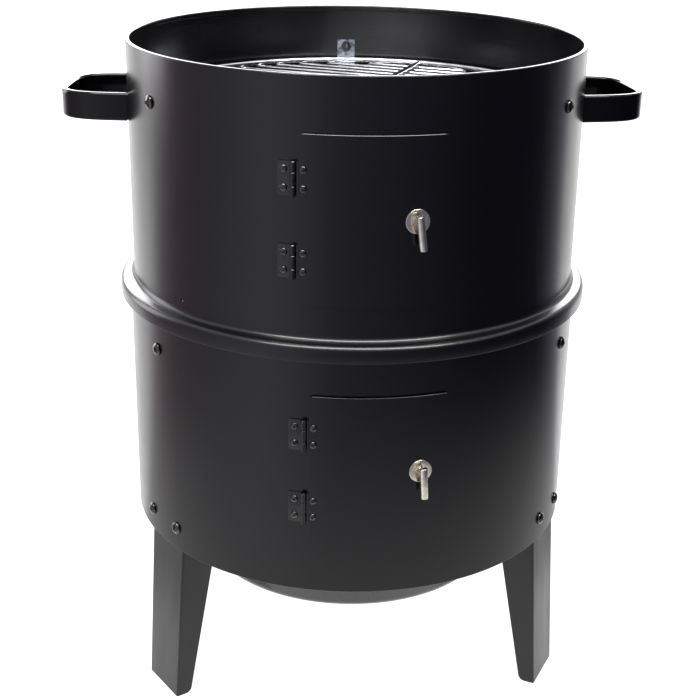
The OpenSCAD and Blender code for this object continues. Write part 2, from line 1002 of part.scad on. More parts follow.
module charcoal_grate() {
    color(hardware) grate(fuel_grate_r, fuel_grate_z, fuel_pitch, grate_deg);
}

upper_barrel();
joint_collar();
handle_left();
handle_right();
handle_screws();
top_bracket_left();
top_bracket_right();
top_bracket_rear();
top_bracket_bolts();
top_bracket_nuts();
upper_hinge_frame_leaves();
upper_hinge_pins();
upper_hinge_frame_screws();
upper_door();
upper_hinge_door_leaves();
upper_hinge_door_screws();
upper_latch_washer();
upper_latch_lever();
upper_latch_tongue();
upper_latch_nut();
upper_grate();
lower_barrel();
leg_left();
leg_right();
leg_rear();
leg_bolts();
leg_nuts();
mid_bracket_left();
mid_bracket_right();
mid_bracket_rear();
mid_bracket_bolts();
mid_bracket_nuts();
lower_hinge_frame_leaves();
lower_hinge_pins();
lower_hinge_frame_screws();
lower_door();
lower_hinge_door_leaves();
lower_hinge_door_screws();
lower_latch_washer();
lower_latch_lever();
lower_latch_tongue();
lower_latch_nut();
water_pan();
lower_grate();
charcoal_bowl();
charcoal_grate();
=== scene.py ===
"""Vertical water smoker: the finished pieces, their finishes and the studio, built round the CAD frame.

Lengths are metres and angles are radians. The front of the smoker faces -Y, and an angle round it is
measured from the front towards +X.
"""

import json
import math
import random

import bmesh
import bpy
from bpy.props import FloatProperty, FloatVectorProperty, PointerProperty
from bpy.types import Operator, Panel, PropertyGroup
from mathutils import Matrix, Vector


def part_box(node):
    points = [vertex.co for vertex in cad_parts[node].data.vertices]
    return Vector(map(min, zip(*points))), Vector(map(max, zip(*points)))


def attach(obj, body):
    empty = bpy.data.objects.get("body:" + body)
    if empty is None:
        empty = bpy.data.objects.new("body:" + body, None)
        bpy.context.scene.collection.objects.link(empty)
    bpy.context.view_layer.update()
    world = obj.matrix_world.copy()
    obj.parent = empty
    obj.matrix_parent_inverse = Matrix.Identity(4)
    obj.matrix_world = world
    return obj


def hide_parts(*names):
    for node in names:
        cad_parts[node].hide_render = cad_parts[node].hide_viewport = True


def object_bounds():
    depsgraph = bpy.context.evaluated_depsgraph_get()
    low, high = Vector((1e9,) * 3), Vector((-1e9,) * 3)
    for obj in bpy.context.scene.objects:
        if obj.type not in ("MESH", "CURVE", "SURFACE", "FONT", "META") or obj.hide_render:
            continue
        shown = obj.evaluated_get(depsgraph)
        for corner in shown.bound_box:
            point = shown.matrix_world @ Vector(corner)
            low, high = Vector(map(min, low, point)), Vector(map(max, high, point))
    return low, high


bl_info = {
    "name": "Vertical water smoker",
    "version": (1, 0, 0),
    "blender": (4, 5, 0),
    "location": "3D View > Sidebar > Smoker",
    "description": "Builds a two-barrel charcoal water smoker round its CAD frame",
    "category": "Add Mesh",
}

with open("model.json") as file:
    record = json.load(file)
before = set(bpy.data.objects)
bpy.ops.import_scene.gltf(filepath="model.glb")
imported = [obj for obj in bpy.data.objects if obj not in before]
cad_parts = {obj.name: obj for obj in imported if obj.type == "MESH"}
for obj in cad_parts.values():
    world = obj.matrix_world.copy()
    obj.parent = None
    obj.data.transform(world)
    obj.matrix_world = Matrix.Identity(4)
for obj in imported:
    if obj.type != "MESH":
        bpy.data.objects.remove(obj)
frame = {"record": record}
CAD_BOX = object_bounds()
BODY_OF = {
    node: body
    for body, nodes in frame["record"]["behaviour"]["bodies"].items()
    for node in nodes
}

MM = 0.001
BARREL_STEPS = 192
SECTIONS = ("upper", "lower")
SIDES = (-1, 1)


# ---------- places taken from the frame ----------

def middle(node):
    """Middle of a CAD node's box."""
    low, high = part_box(node)
    return (low + high) / 2


def bearing(point):
    """Angle of a point round the smoker."""
    return math.atan2(point.x, -point.y)


def outward(angle, height=0.0, distance=0.0):
    """Place on the smoker with +Z outwards, +X to the right and +Y up."""
    lift = Matrix.Translation((0, -distance, height))
    return Matrix.Rotation(angle, 4, "Z") @ lift @ Matrix.Rotation(math.pi / 2, 4, "X")


# ---------- settings ----------

def length(name, description, default):
    """A size in metres."""
    return FloatProperty(name=name, description=description, default=default, min=0.0,
                         precision=5, unit="LENGTH")


def turn(name, description, degrees):
    """An angle, given in degrees and kept in radians."""
    return FloatProperty(name=name, description=description, default=math.radians(degrees),
                         subtype="ANGLE", unit="ROTATION")


def colour(name, description, default):
    """A linear colour."""
    return FloatVectorProperty(name=name, description=description, default=default, size=3,
                               min=0.0, max=1.0, subtype="COLOR")


def share(name, description, default):
    """A number from 0 to 1."""
    return FloatProperty(name=name, description=description, default=default, min=0.0, max=1.0,
                         subtype="FACTOR")


class SmokerBarrels(PropertyGroup):
    """Sizes of the two barrels and the collar between them."""
    upper_radius: length("Upper radius", "Outside radius of the upper barrel",
                         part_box("upper_barrel")[1].x)
    lower_radius: length("Lower radius", "Outside radius of the lower barrel",
                         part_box("lower_barrel")[1].x)
    sheet: length("Sheet", "Thickness of the barrel and door sheet", 1.2 * MM)
    rim_width: length("Rim width", "Width of the curled top rim", 4 * MM)
    rim_height: length("Rim height", "Height of the curled top rim", 5.6 * MM)
    rim_corner: length("Rim corner", "Corner radius of the curled top rim", 1.5 * MM)
    collar_radius: length("Collar radius", "Outside radius of the collar skirt",
                          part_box("joint_collar")[1].x)
    collar_root: length("Collar fillet", "Fillet between the barrel and the collar", 6 * MM)
    collar_shoulder: length("Collar shoulder", "Corner radius of the collar shoulder", 6 * MM)
    collar_crown: length("Collar crown", "Height of the shoulder above its seat", 3.4 * MM)
    collar_slope: turn("Collar slope", "Fall of the collar's top face", 5)
    opening_width: length("Opening width", "Width of a door opening along the barrel", 111.8 * MM)
    opening_height: length("Opening height", "Height of a door opening", 128 * MM)
    opening_corner: length("Opening corner", "Corner radius of a door opening", 6 * MM)
    opening_start: length("Opening start", "Distance from the hinge axis to the opening", 5.6 * MM)
    upper_seam: turn("Upper seam", "Place of the upper barrel's weld seam", -160.5)
    lower_seam: turn("Lower seam", "Place of the lower barrel's weld seam", 158)


class SmokerDoors(PropertyGroup):
    """Sizes of the doors, hinges and latches. Distances run along the barrel from a hinge axis."""
    width: length("Width", "Width of a door along the barrel", 125 * MM)
    height: length("Height", "Height of a door", 147 * MM)
    corner: length("Corner", "Corner radius of a door", 4 * MM)
    gap: length("Gap", "Distance from the hinge axis to the door's edge", 4.3 * MM)
    lift: length("Lift", "Space between the barrel and the door sheet", 1.35 * MM)
    hinge_height: length("Hinge height", "Height of one hinge", 30 * MM)
    hinge_offset: length("Hinge offset", "Distance from the door's middle to a hinge", 35.5 * MM)
    knuckle_height: length("Knuckle height", "Height of an outer knuckle", 9 * MM)
    knuckle_radius: length("Knuckle radius", "Radius of the knuckles", 2.5 * MM)
    pin_radius: length("Pin radius", "Radius of a hinge pin", 1.4 * MM)
    leaf_reach: length("Leaf reach", "Reach of a hinge leaf from the axis", 14 * MM)
    frame_leaf: length("Frame leaf", "Thickness of the leaf on the barrel", 1.2 * MM)
    door_leaf: length("Door leaf", "Thickness of the leaf behind the door", 1 * MM)
    screw_distance: length("Screw distance", "Distance from the axis to the screws", 8.4 * MM)
    screw_pitch: length("Screw pitch", "Distance between a leaf's two screws", 16 * MM)
    washer_radius: length("Washer radius", "Radius of the latch washer", 10.6 * MM)
    washer_thickness: length("Washer thickness", "Thickness of the latch washer", 1.5 * MM)
    lever_radius: length("Lever radius", "Radius of the lever bar", 3.5 * MM)
    lever_length: length("Lever length", "Length of the lever bar", 29.7 * MM)
    lever_above: length("Lever above", "Length of the bar above its spindle", 6.8 * MM)
    lever_distance: length("Lever distance", "Distance from the barrel to the bar's axis",
                           12.5 * MM)
    upper_tilt: turn("Upper lever tilt", "Tilt of the upper lever from plumb", 7.5)
    lower_tilt: turn("Lower lever tilt", "Tilt of the lower lever from plumb", 4)
    spindle_radius: length("Spindle radius", "Radius of the latch spindle", 3.3 * MM)


class SmokerHandles(PropertyGroup):
    """Sizes of the loop handles."""
    left_bearing: turn("Left bearing", "Place of the left handle", -97)
    right_bearing: turn("Right bearing", "Place of the right handle", 94)
    reach: length("Reach", "Distance from the barrel's axis to the outside of a handle", 277 * MM)
    root: length("Root", "Distance from the barrel's axis to the start of the loop", 205 * MM)
    half_width: length("Half width", "Half the width of a handle at the barrel", 54 * MM)
    thickness: length("Thickness", "Thickness of the strap", 6.5 * MM)
    corner: length("Corner", "Corner radius of the strap", 2.7 * MM)
    groove_depth: length("Groove depth", "Depth of the finger groove round the end", 3 * MM)
    groove_half: length("Groove half height", "Half the height of the finger groove", 5.5 * MM)
    groove_reach: length("Groove reach", "Half the length of the finger groove", 26 * MM)
    neck: length("Neck", "Depth of the step where the strap meets the barrel", 0.9 * MM)


class SmokerLegs(PropertyGroup):
    """Sizes of the channel legs."""
    bearing: turn("Bearing", "Angle of the front legs to each side of the front", 60.3)
    foot_out: length("Foot distance", "Distance of a foot's outer face from the axis", 225.2 * MM)
    top_out: length("Top distance", "Distance of the upper outer face from the axis", 214.8 * MM)
    foot_width: length("Foot width", "Width of a leg at the floor", 57.6 * MM)
    top_width: length("Top width", "Width of a leg inside the barrel", 62.3 * MM)
    foot_flange: length("Foot flange", "Depth of the flanges at the floor", 15.7 * MM)
    top_flange: length("Top flange", "Depth of the flanges inside the barrel", 36 * MM)
    steel: length("Steel", "Thickness of the leg steel", 1.8 * MM)
    bend: length("Bend", "Outside radius of the folds", 2 * MM)
    bend_height: length("Bend height", "Height where a leg turns upright", 160 * MM)
    foot_corner: length("Foot corner", "Corner radius of the flanges at the floor", 5 * MM)
    bolt_height: length("Bolt height", "Height of the leg bolts", 187 * MM)
    bolt_turn: turn("Bolt turn", "Angle from a leg's middle to each of its bolts", 6.3)


class SmokerWires(PropertyGroup):
    """Sizes of the grates, brackets, pan and bowl."""
    ring: length("Ring wire", "Diameter of the ring wire", 5.4 * MM)
    rod: length("Rod wire", "Diameter of the rods", 3.6 * MM)
    bar: length("Cross-bar", "Diameter of the cross-bar", 5 * MM)
    pitch: length("Cooking pitch", "Spacing of the cooking grate rods", 17 * MM)
    fuel_pitch: length("Charcoal pitch", "Spacing of the charcoal grate rods", 14 * MM)
    upper_turn: turn("Upper grate turn", "Direction of the upper grate's rods", -25)
    lower_turn: turn("Lower grate turn", "Direction of the lower grate's rods", 35)
    bracket_width: length("Bracket width", "Width of a bracket", 18.7 * MM)
    bracket_steel: length("Bracket steel", "Thickness of a bracket", 1.5 * MM)
    bracket_ledge: length("Bracket ledge", "Length of a bracket's ledge", 22 * MM)
    bracket_above: length("Bracket top", "Height of a bracket above its bolt", 6.5 * MM)
    dish: length("Dish sheet", "Thickness of the pan and bowl sheet", 1.2 * MM)
    pan_roll: length("Pan roll", "Radius of the pan's rolled rim", 3 * MM)
    bowl_roll: length("Bowl roll", "Radius of the bowl's rolled rim", 2 * MM)


class SmokerFinishes(PropertyGroup):
    """Colours and gloss of the finishes."""
    coat: colour("Barrel coat", "Powder coat of the barrels and doors", (0.0014, 0.0013, 0.0020))
    coat_rough: share("Barrel coat roughness", "Roughness of the barrel coat", 0.225)
    legs: colour("Leg coat", "Powder coat of the legs", (0.0065, 0.0065, 0.0075))
    legs_rough: share("Leg coat roughness", "Roughness of the leg coat", 0.36)
    grip: colour("Handle plastic", "Moulded plastic of the handles", (0.0012, 0.0012, 0.0015))
    hardware: colour("Black hardware", "Blackened bolts, nuts, screws and hinges",
                     (0.004, 0.004, 0.004))
    stainless: colour("Latch steel", "Stainless steel of the latches", (0.98, 0.90, 0.77))
    nickel: colour("Black nickel", "Dark plating of bolt and screw heads", (0.11, 0.108, 0.106))
    zinc: colour("Zinc plate", "Galvanised brackets and latch tongues", (0.46, 0.52, 0.57))
    chrome: colour("Chromed wire", "Plated wire of the cooking grates", (0.78, 0.79, 0.81))
    enamel: colour("Enamel", "Enamel of the pan and bowl", (0.020, 0.020, 0.019))
    iron: colour("Grate iron", "Dark steel of the charcoal grate", (0.05, 0.047, 0.044))


class SmokerStage(PropertyGroup):
    """The camera, the floor and the lights."""
    camera_place: FloatVectorProperty(name="Camera place", description="Where the camera stands",
                                      default=(-0.1223, -1.3002, 0.8271), size=3,
                                      subtype="XYZ", unit="LENGTH")
    camera_bearing: turn("Camera bearing", "Turn of the camera round the upright", -5.332)
    camera_tilt: turn("Camera tilt", "Fall of the camera's view below level", 21.345)
    camera_roll: turn("Camera roll", "Turn of the camera about its own view", 1.038)
    lens: FloatProperty(name="Lens", description="Focal length in millimetres", default=70.54,
                        min=1.0, unit="CAMERA")
    sky: FloatProperty(name="Sky", description="Strength of the even light", default=1.0, min=0.0)
    floor: share("Floor", "Share of light that the glowing floor gives back", 0.22)
    back_light: FloatProperty(name="Back light", description="Power of the rear panel in watts",
                              default=320.0, min=0.0)
    side_light: FloatProperty(name="Side light", description="Power of the left panel in watts",
                              default=14.0, min=0.0)
    top_light: FloatProperty(name="Top light", description="Power of the overhead panel in watts",
                             default=60.0, min=0.0)
    screen_near: length("Screen start", "Distance from the smoker's axis to the dark screen", 0.36)
    screen_far: length("Screen distance", "Distance from the axis to the screen's wall", 2.8)
    screen_top: length("Screen height", "Height of the screen's wall", 2.6)


# ---------- outlines ----------

def arc(x, y, radius, start, end, steps):
    """Points along an arc round (x, y), between two angles in degrees."""
    angles = [math.radians(start + (end - start) * i / steps) for i in range(steps + 1)]
    return [(x + radius * math.cos(a), y + radius * math.sin(a)) for a in angles]


def rounded_rectangle(width, height, radius, steps=6):
    """Centred rectangle with round corners."""
    x = width / 2 - radius
    y = height / 2 - radius
    return (arc(x, y, radius, 0, 90, steps) + arc(-x, y, radius, 90, 180, steps)
            + arc(-x, -y, radius, 180, 270, steps) + arc(x, -y, radius, 270, 360, steps))


def rows(start, end, spacing):
    """Evenly spread values from start to end, both included."""
    count = max(1, math.ceil(abs(end - start) / spacing))
    return [start + (end - start) * i / count for i in range(count + 1)]


def smooth_step(low, high, value):
    """0 below low, 1 above high, and an even rise between them."""
    t = min(1.0, max(0.0, (value - low) / (high - low)))
    return t * t * (3 - 2 * t)


# ---------- mesh tools ----------

def revolve(bm, profile, place=Matrix.Identity(4), steps=48, closed=False):
    """Turns a (radius, height) outline round +Z. Ends on the axis, or closed=True, seal it."""
    rings = []
    for radius, height in profile:
        if radius < 1e-7:
            rings.append([bm.verts.new(place @ Vector((0, 0, height)))])
            continue
        angles = [math.tau * i / steps for i in range(steps)]
        rings.append([
            bm.verts.new(place @ Vector((radius * math.cos(a), radius * math.sin(a), height)))
            for a in angles
        ])
    join_rings(bm, rings, closed)


def join_rings(bm, rings, closed=False):
    """Faces between neighbouring rings of points; a ring of one point is a tip."""
    following = rings[1:] + (rings[:1] if closed else [])
    for ring, other in zip(rings, following):
        count = max(len(ring), len(other))
        if count == 1:
            continue
        for i in range(count):
            j = (i + 1) % count
            corners = [ring[i % len(ring)], ring[j % len(ring)],
                       other[j % len(other)], other[i % len(other)]]
            bm.faces.new(list(dict.fromkeys(corners)))


def loft(bm, sections):
    """Closed solid through a row of outlines with equal numbers of points."""
    rings = [[bm.verts.new(point) for point in section] for section in sections]
    join_rings(bm, rings)
    bm.faces.new(rings[0][::-1])
    bm.faces.new(rings[-1])


def prism(bm, outline, low, high, place=Matrix.Identity(4)):
    """Closed solid over an outline in XY, between two heights."""
    loft(bm, [[place @ Vector((x, y, z)) for x, y in outline] for z in (low, high)])


def round_edges(bm, width, sharper=50.0, steps=2):
    """Rounds every edge that folds by more than so many degrees; one step is a chamfer."""
    bmesh.ops.recalc_face_normals(bm, faces=bm.faces)
    edges = [e for e in bm.edges
             if len(e.link_faces) == 2 and e.calc_face_angle() > math.radians(sharper)]
    bmesh.ops.bevel(bm, geom=edges, offset=width, offset_type="OFFSET", segments=steps,
                    profile=0.5, affect="EDGES", clamp_overlap=True)


def loose_object(name, bm):
    """Object holding a bmesh, which it uses up."""
    bmesh.ops.recalc_face_normals(bm, faces=bm.faces)
    mesh = bpy.data.meshes.new(name)
    bm.to_mesh(mesh)
    bm.free()
    obj = bpy.data.objects.new(name, mesh)
    bpy.context.scene.collection.objects.link(obj)
    return obj


def cut(bm, cutter):
    """Takes a closed cutter out of a closed bmesh and gives the bmesh that is left."""
    target = loose_object("cut_target", bm)
    tool = loose_object("cut_tool", cutter)
    modifier = target.modifiers.new("cut", "BOOLEAN")
    modifier.operation = "DIFFERENCE"
    modifier.solver = "EXACT"
    modifier.object = tool
    left = bmesh.new()
    left.from_object(target, bpy.context.evaluated_depsgraph_get())
    for obj in (target, tool):
        mesh = obj.data
        bpy.data.objects.remove(obj)
        bpy.data.meshes.remove(mesh)
    return left


def drill(places, radius, depth, bm=None, steps=32):
    """Cutter with one round bar at each place, reaching depth to both sides along its +Z."""
    bm = bm or bmesh.new()
    for place in places:
        revolve(bm, [(0, -depth), (radius, -depth), (radius, depth), (0, depth)], place, steps)
    return bm


def stamp(bm, mesh, places):
    """Copies a finished mesh to each place."""
    for place in places:
        first = len(bm.verts)
        bm.from_mesh(mesh)
        bm.verts.ensure_lookup_table()
        bmesh.ops.transform(bm, matrix=place, verts=bm.verts[first:])


def finished_mesh(name, bm):
    """Mesh made from a bmesh, which it uses up."""
    bmesh.ops.recalc_face_normals(bm, faces=bm.faces)
    mesh = bpy.data.meshes.new(name)
    bm.to_mesh(mesh)
    bm.free()
    return mesh


def roll_up(bm, radius, angle, height, spacing=2.5 * MM):
    """Rolls a flat sheet onto a barrel: x runs round it from the angle, y is up, z is outwards."""
    low = min(v.co.x for v in bm.verts)
    high = max(v.co.x for v in bm.verts)
    for x in rows(low, high, spacing)[1:-1]:
        bmesh.ops.bisect_plane(bm, geom=bm.verts[:] + bm.edges[:] + bm.faces[:],
                               plane_co=(x, 0, 0), plane_no=(1, 0, 0))
    for vert in bm.verts:
        across, up, out = vert.co
        at = angle + across / radius
        vert.co = ((radius + out) * math.sin(at), -(radius + out) * math.cos(at), height + up)


def radial_shading(mesh):
    """Gives the wall faces of a barrel or door the exact shading of a round wall."""
    normals = [Vector(corner.vector) for corner in mesh.corner_normals]
    for face in mesh.polygons:
        out = Vector((face.center.x, face.center.y, 0)).normalized()
        side = face.normal.dot(out)
        if abs(side) < 0.995:
            continue
        for corner in face.loop_indices:
            point = mesh.vertices[mesh.loops[corner].vertex_index].co
            normal = Vector((point.x, point.y, 0)).normalized()
            normals[corner] = normal if side > 0 else -normal
    mesh.normals_split_custom_set(normals)


def piece(name, bm, node, finish, smooth=35.0, round_wall=False):
    """Piece that stands for a CAD node, in its finish and riding on the node's body."""
    obj = loose_object(name, bm)
    obj.data.shade_smooth()
    obj.data.set_sharp_from_angle(angle=math.radians(smooth))
    if round_wall:
        radial_shading(obj.data)
    obj.data.materials.append(kept(finish))
    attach(obj, BODY_OF[node])
    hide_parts(node)


# ---------- finishes ----------

class FinishMaker:
    """A material and the nodes that build it up, in object space."""

    def __init__(self, name):
        self.material = bpy.data.materials.new(name)
        self.material.use_nodes = True
        self.tree = self.material.node_tree
        self.shader = self.tree.nodes["Principled BSDF"]
        self.place = self.tree.nodes.new("ShaderNodeTexCoord").outputs["Object"]
        self.last_bump = None

    def stretch(self, scale):
        """Object coordinates stretched along each axis."""
        node = self.tree.nodes.new("ShaderNodeMapping")
        node.inputs["Scale"].default_value = scale
        self.tree.links.new(self.place, node.inputs["Vector"])
        return node.outputs["Vector"]

    def noise(self, scale, detail=4.0, rough=0.55, place=None):
        """Noise from 0 to 1; scale is in blotches per metre."""
        node = self.tree.nodes.new("ShaderNodeTexNoise")
        node.inputs["Scale"].default_value = scale
        node.inputs["Detail"].default_value = detail
        node.inputs["Roughness"].default_value = rough
        self.tree.links.new(place or self.place, node.inputs["Vector"])
        return node.outputs["Fac"]

    def cells(self, scale):
        """A random shade for each cell, as in the spangle of zinc."""
        node = self.tree.nodes.new("ShaderNodeTexVoronoi")
        node.inputs["Scale"].default_value = scale
        node.inputs["Randomness"].default_value = 1.0
        self.tree.links.new(self.place, node.inputs["Vector"])
        split = self.tree.nodes.new("ShaderNodeSeparateColor")
        self.tree.links.new(node.outputs["Color"], split.inputs["Color"])
        return split.outputs["Red"]

    def blend(self, first, second, amount):
        """Sum of two patterns by their shares."""
        node = self.tree.nodes.new("ShaderNodeMix")
        node.inputs["Factor"].default_value = amount
        self.tree.links.new(first, node.inputs["A"])
        self.tree.links.new(second, node.inputs["B"])
        return node.outputs["Result"]

    def ramp(self, pattern, low, high, dark, light):
        """Colour that goes from dark to light as the pattern goes from low to high."""
        node = self.tree.nodes.new("ShaderNodeValToRGB")
        node.color_ramp.elements[0].position = low
        node.color_ramp.elements[0].color = (*dark, 1)
        node.color_ramp.elements[1].position = high
        node.color_ramp.elements[1].color = (*light, 1)
        self.tree.links.new(pattern, node.inputs["Fac"])
        self.tree.links.new(node.outputs["Color"], self.shader.inputs["Base Color"])

    def roughness(self, pattern, smoothest, roughest):
        """Roughness that follows a pattern."""
        node = self.tree.nodes.new("ShaderNodeMapRange")
        node.inputs["From Min"].default_value = 0.3
        node.inputs["From Max"].default_value = 0.7
        node.inputs["To Min"].default_value = smoothest
        node.inputs["To Max"].default_value = roughest
        self.tree.links.new(pattern, node.inputs["Value"])
        self.tree.links.new(node.outputs["Result"], self.shader.inputs["Roughness"])

    def bump(self, pattern, depth, strength=1.0):
        """Raises and sinks the surface by a pattern, on top of any bump before it."""
        node = self.tree.nodes.new("ShaderNodeBump")
        node.inputs["Strength"].default_value = strength
        node.inputs["Distance"].default_value = depth
        self.tree.links.new(pattern, node.inputs["Height"])
        if self.last_bump:
            self.tree.links.new(self.last_bump, node.inputs["Normal"])
        self.last_bump = node.outputs["Normal"]
        self.tree.links.new(self.last_bump, self.shader.inputs["Normal"])

    def even(self, **sockets):
        """Values that are the same all over."""
        for name, value in sockets.items():
            self.shader.inputs[name.replace("_", " ")].default_value = value


def tinted(shade, factor):
    """A colour made darker or lighter."""
    return tuple(min(1.0, channel * factor) for channel in shade)


def kept(finish):
    """The material of a finish, made the first time that it is wanted."""
    name = "finish_" + finish.__name__
    return bpy.data.materials.get(name) or finish(FinishMaker(name),
                                                  bpy.context.scene.smoker_finishes)


def barrel_coat(maker, settings):
    """Satin black powder coat: a fine orange peel over a sheet that is never quite true."""
    cloud = maker.noise(5, detail=3)
    grain = maker.noise(900, detail=2)
    maker.ramp(maker.blend(cloud, grain, 0.4), 0.35, 0.7,
               tinted(settings.coat, 0.75), tinted(settings.coat, 1.35))
    maker.roughness(maker.blend(cloud, maker.noise(60), 0.35),
                    settings.coat_rough - 0.035, settings.coat_rough + 0.045)
    maker.bump(maker.noise(9, detail=1.5), 0.5 * MM, 0.35)
    maker.bump(maker.noise(420, detail=2), 0.05 * MM, 0.35)
    maker.even(Specular_IOR_Level=0.5)
    return maker.material


def leg_coat(maker, settings):
    """Greyer, duller powder coat with a visible grain and faint rub marks."""
    rub = maker.noise(1, detail=5, place=maker.stretch((38, 38, 9)))
    grain = maker.noise(1100, detail=2)
    maker.ramp(maker.blend(rub, grain, 0.35), 0.3, 0.75,
               tinted(settings.legs, 0.75), tinted(settings.legs, 1.4))
    maker.roughness(rub, settings.legs_rough - 0.06, settings.legs_rough + 0.07)
    maker.bump(maker.noise(600, detail=2), 0.06 * MM, 0.5)
    maker.even(Specular_IOR_Level=0.42)
    return maker.material


def handle_plastic(maker, settings):
    """Polished black moulding with a trace of flow and hairline scuffs."""
    flow = maker.noise(1, detail=3, place=maker.stretch((25, 25, 70)))
    scuff = maker.noise(1, detail=6, place=maker.stretch((900, 90, 400)))
    maker.ramp(flow, 0.3, 0.7, tinted(settings.grip, 0.6), tinted(settings.grip, 1.4))
    maker.roughness(maker.blend(flow, scuff, 0.5), 0.05, 0.12)
    maker.bump(maker.noise(45, detail=1), 0.12 * MM, 0.25)
    maker.even(Specular_IOR_Level=0.3)
    return maker.material


def black_hardware(maker, settings):
    """Glossy black oxide of the hinge leaves and pins, bright enough to glint on its edges."""
    patch = maker.noise(260, detail=4)
    maker.ramp(patch, 0.35, 0.7, tinted(settings.hardware, 0.6), tinted(settings.hardware, 2.0))
    maker.roughness(patch, 0.08, 0.2)
    maker.bump(maker.noise(800, detail=2), 0.04 * MM, 0.3)
    maker.even(Specular_IOR_Level=0.6)
    return maker.material


def black_nickel(maker, settings):
    """Black nickel of bolt and screw heads: dark metal with bright glints on its domes."""
    patch = maker.noise(300, detail=4)
    maker.ramp(patch, 0.35, 0.7, tinted(settings.nickel, 0.55), tinted(settings.nickel, 1.3))
    maker.roughness(patch, 0.1, 0.2)
    maker.bump(maker.noise(900, detail=2), 0.03 * MM, 0.3)
    maker.even(Metallic=1.0)
    return maker.material


def latch_steel(maker, settings):
    """Turned stainless steel with fine scratches and dull handling marks."""
    mark = maker.noise(170, detail=5, rough=0.65)
    scratch = maker.noise(1, detail=4, place=maker.stretch((2400, 2400, 120)))
    maker.ramp(maker.blend(mark, scratch, 0.3), 0.34, 0.6,
               tinted(settings.stainless, 0.6), tinted(settings.stainless, 1.0))
    maker.roughness(mark, 0.3, 0.12)
    maker.bump(scratch, 0.03 * MM, 0.5)
    maker.bump(maker.noise(320, detail=3), 0.08 * MM, 0.35)
    maker.even(Metallic=1.0)
    return maker.material


def zinc_plate(maker, settings):
    """Galvanised steel with its bluish spangle."""
    spangle = maker.cells(420)
    bloom = maker.noise(160, detail=4)
    maker.ramp(maker.blend(spangle, bloom, 0.55), 0.25, 0.75,
               tinted(settings.zinc, 0.62), tinted(settings.zinc, 1.3))
    maker.roughness(maker.blend(bloom, spangle, 0.4), 0.26, 0.46)
    maker.bump(bloom, 0.05 * MM, 0.4)
    maker.even(Metallic=1.0)
    return maker.material


def chrome_wire(maker, settings):
    """Bright plating that dulls a little along the wire."""
    haze = maker.noise(90, detail=4)
    draw = maker.noise(700, detail=2)
    maker.ramp(maker.blend(haze, draw, 0.3), 0.3, 0.65,
               tinted(settings.chrome, 0.72), tinted(settings.chrome, 1.15))
    maker.roughness(haze, 0.1, 0.24)
    maker.bump(draw, 0.03 * MM, 0.3)
    maker.even(Metallic=1.0)
    return maker.material


def enamel(maker, settings):
    """Black vitreous enamel, glassy with small pale specks."""
    speck = maker.noise(1400, detail=1)
    ripple = maker.noise(30, detail=2)
    maker.ramp(speck, 0.6, 0.78, settings.enamel, tinted(settings.enamel, 6))
    maker.roughness(ripple, 0.2, 0.34)
    maker.bump(ripple, 0.3 * MM, 0.3)
    maker.bump(maker.noise(500, detail=1), 0.04 * MM, 0.4)
    maker.even(Coat_Weight=0.4, Coat_Roughness=0.1)
    return maker.material


def grate_iron(maker, settings):
    """Bare dark steel wire with mill scale."""
    scale = maker.noise(240, detail=5, rough=0.7)
    maker.ramp(scale, 0.35, 0.7, tinted(settings.iron, 0.5), tinted(settings.iron, 2.0))
    maker.roughness(scale, 0.4, 0.62)
    maker.bump(scale, 0.12 * MM, 0.5)
    maker.even(Metallic=0.7)
    return maker.material


# ---------- fasteners ----------

CUTTER_REACH = 8 * MM
SPINDLE_PLAY = 0.08 * MM
WALL_STEP = 9 * MM
BRACKET_SIDES = ("left", "right", "rear")
LEG_NUT_SEAT = 213.4 * MM
BOLT_RADIUS = 3 * MM
BOLT_HOLE = 3.2 * MM
BOLT_HEAD = (6 * MM, 3.5 * MM)
NUT_HEIGHT = 4.7 * MM
BOLT_TIP = 1.5 * MM
SCREW_RADIUS = 1.6 * MM
SCREW_HOLE = 1.7 * MM
SCREW_HEAD = (3.3 * MM, 1.9 * MM)
FRAME_SCREW_TAIL = 5.5 * MM
DOOR_SCREW_TAIL = 3.5 * MM


def headed_bar(head_radius, head_height, shank_radius, tail, threaded=0.0):
    """Pan-head screw with a cross recess. Its head sits on the origin and its shank goes to -Z."""
    thread_depth = 0.14 * shank_radius
    chamfer = 0.25 * shank_radius
    profile = [(0, -tail), (shank_radius - chamfer, -tail)]
    for i, height in enumerate(rows(-tail + chamfer, -tail + threaded, 0.5 * MM) if threaded else []):
        profile.append((shank_radius - thread_depth * (i % 2), height))
    profile += [(shank_radius, -tail + max(threaded, chamfer) + chamfer), (shank_radius, 0)]
    profile += [(head_radius * 0.96, 0), (head_radius, head_height * 0.1)]
    base = head_height * 0.22
    for x, y in arc(0, 0, 1, 0, 90, 8)[:-1]:
        profile.append((head_radius * x, base + (head_height - base) * y))
    profile.append((0, head_height))
    bm = bmesh.new()
    revolve(bm, profile, steps=32)
    recess = bmesh.new()
    half_length = 0.5 * head_radius
    half_width = 0.115 * head_radius
    floor = head_height * 0.42
    top = head_height * 1.3
    for turn_by in (0, math.pi / 2):
        spin = Matrix.Rotation(turn_by, 4, "Z")
        loft(recess, [
            [spin @ Vector((x * half_length * size, y * half_width * size, height))
             for x, y in ((1, 1), (-1, 1), (-1, -1), (1, -1))]
            for size, height in ((0.55, floor), (1.15, top))
        ])
    for cross_bar in split_solids(recess):
        bm = cut(bm, cross_bar)
    return finished_mesh("headed_bar", bm)


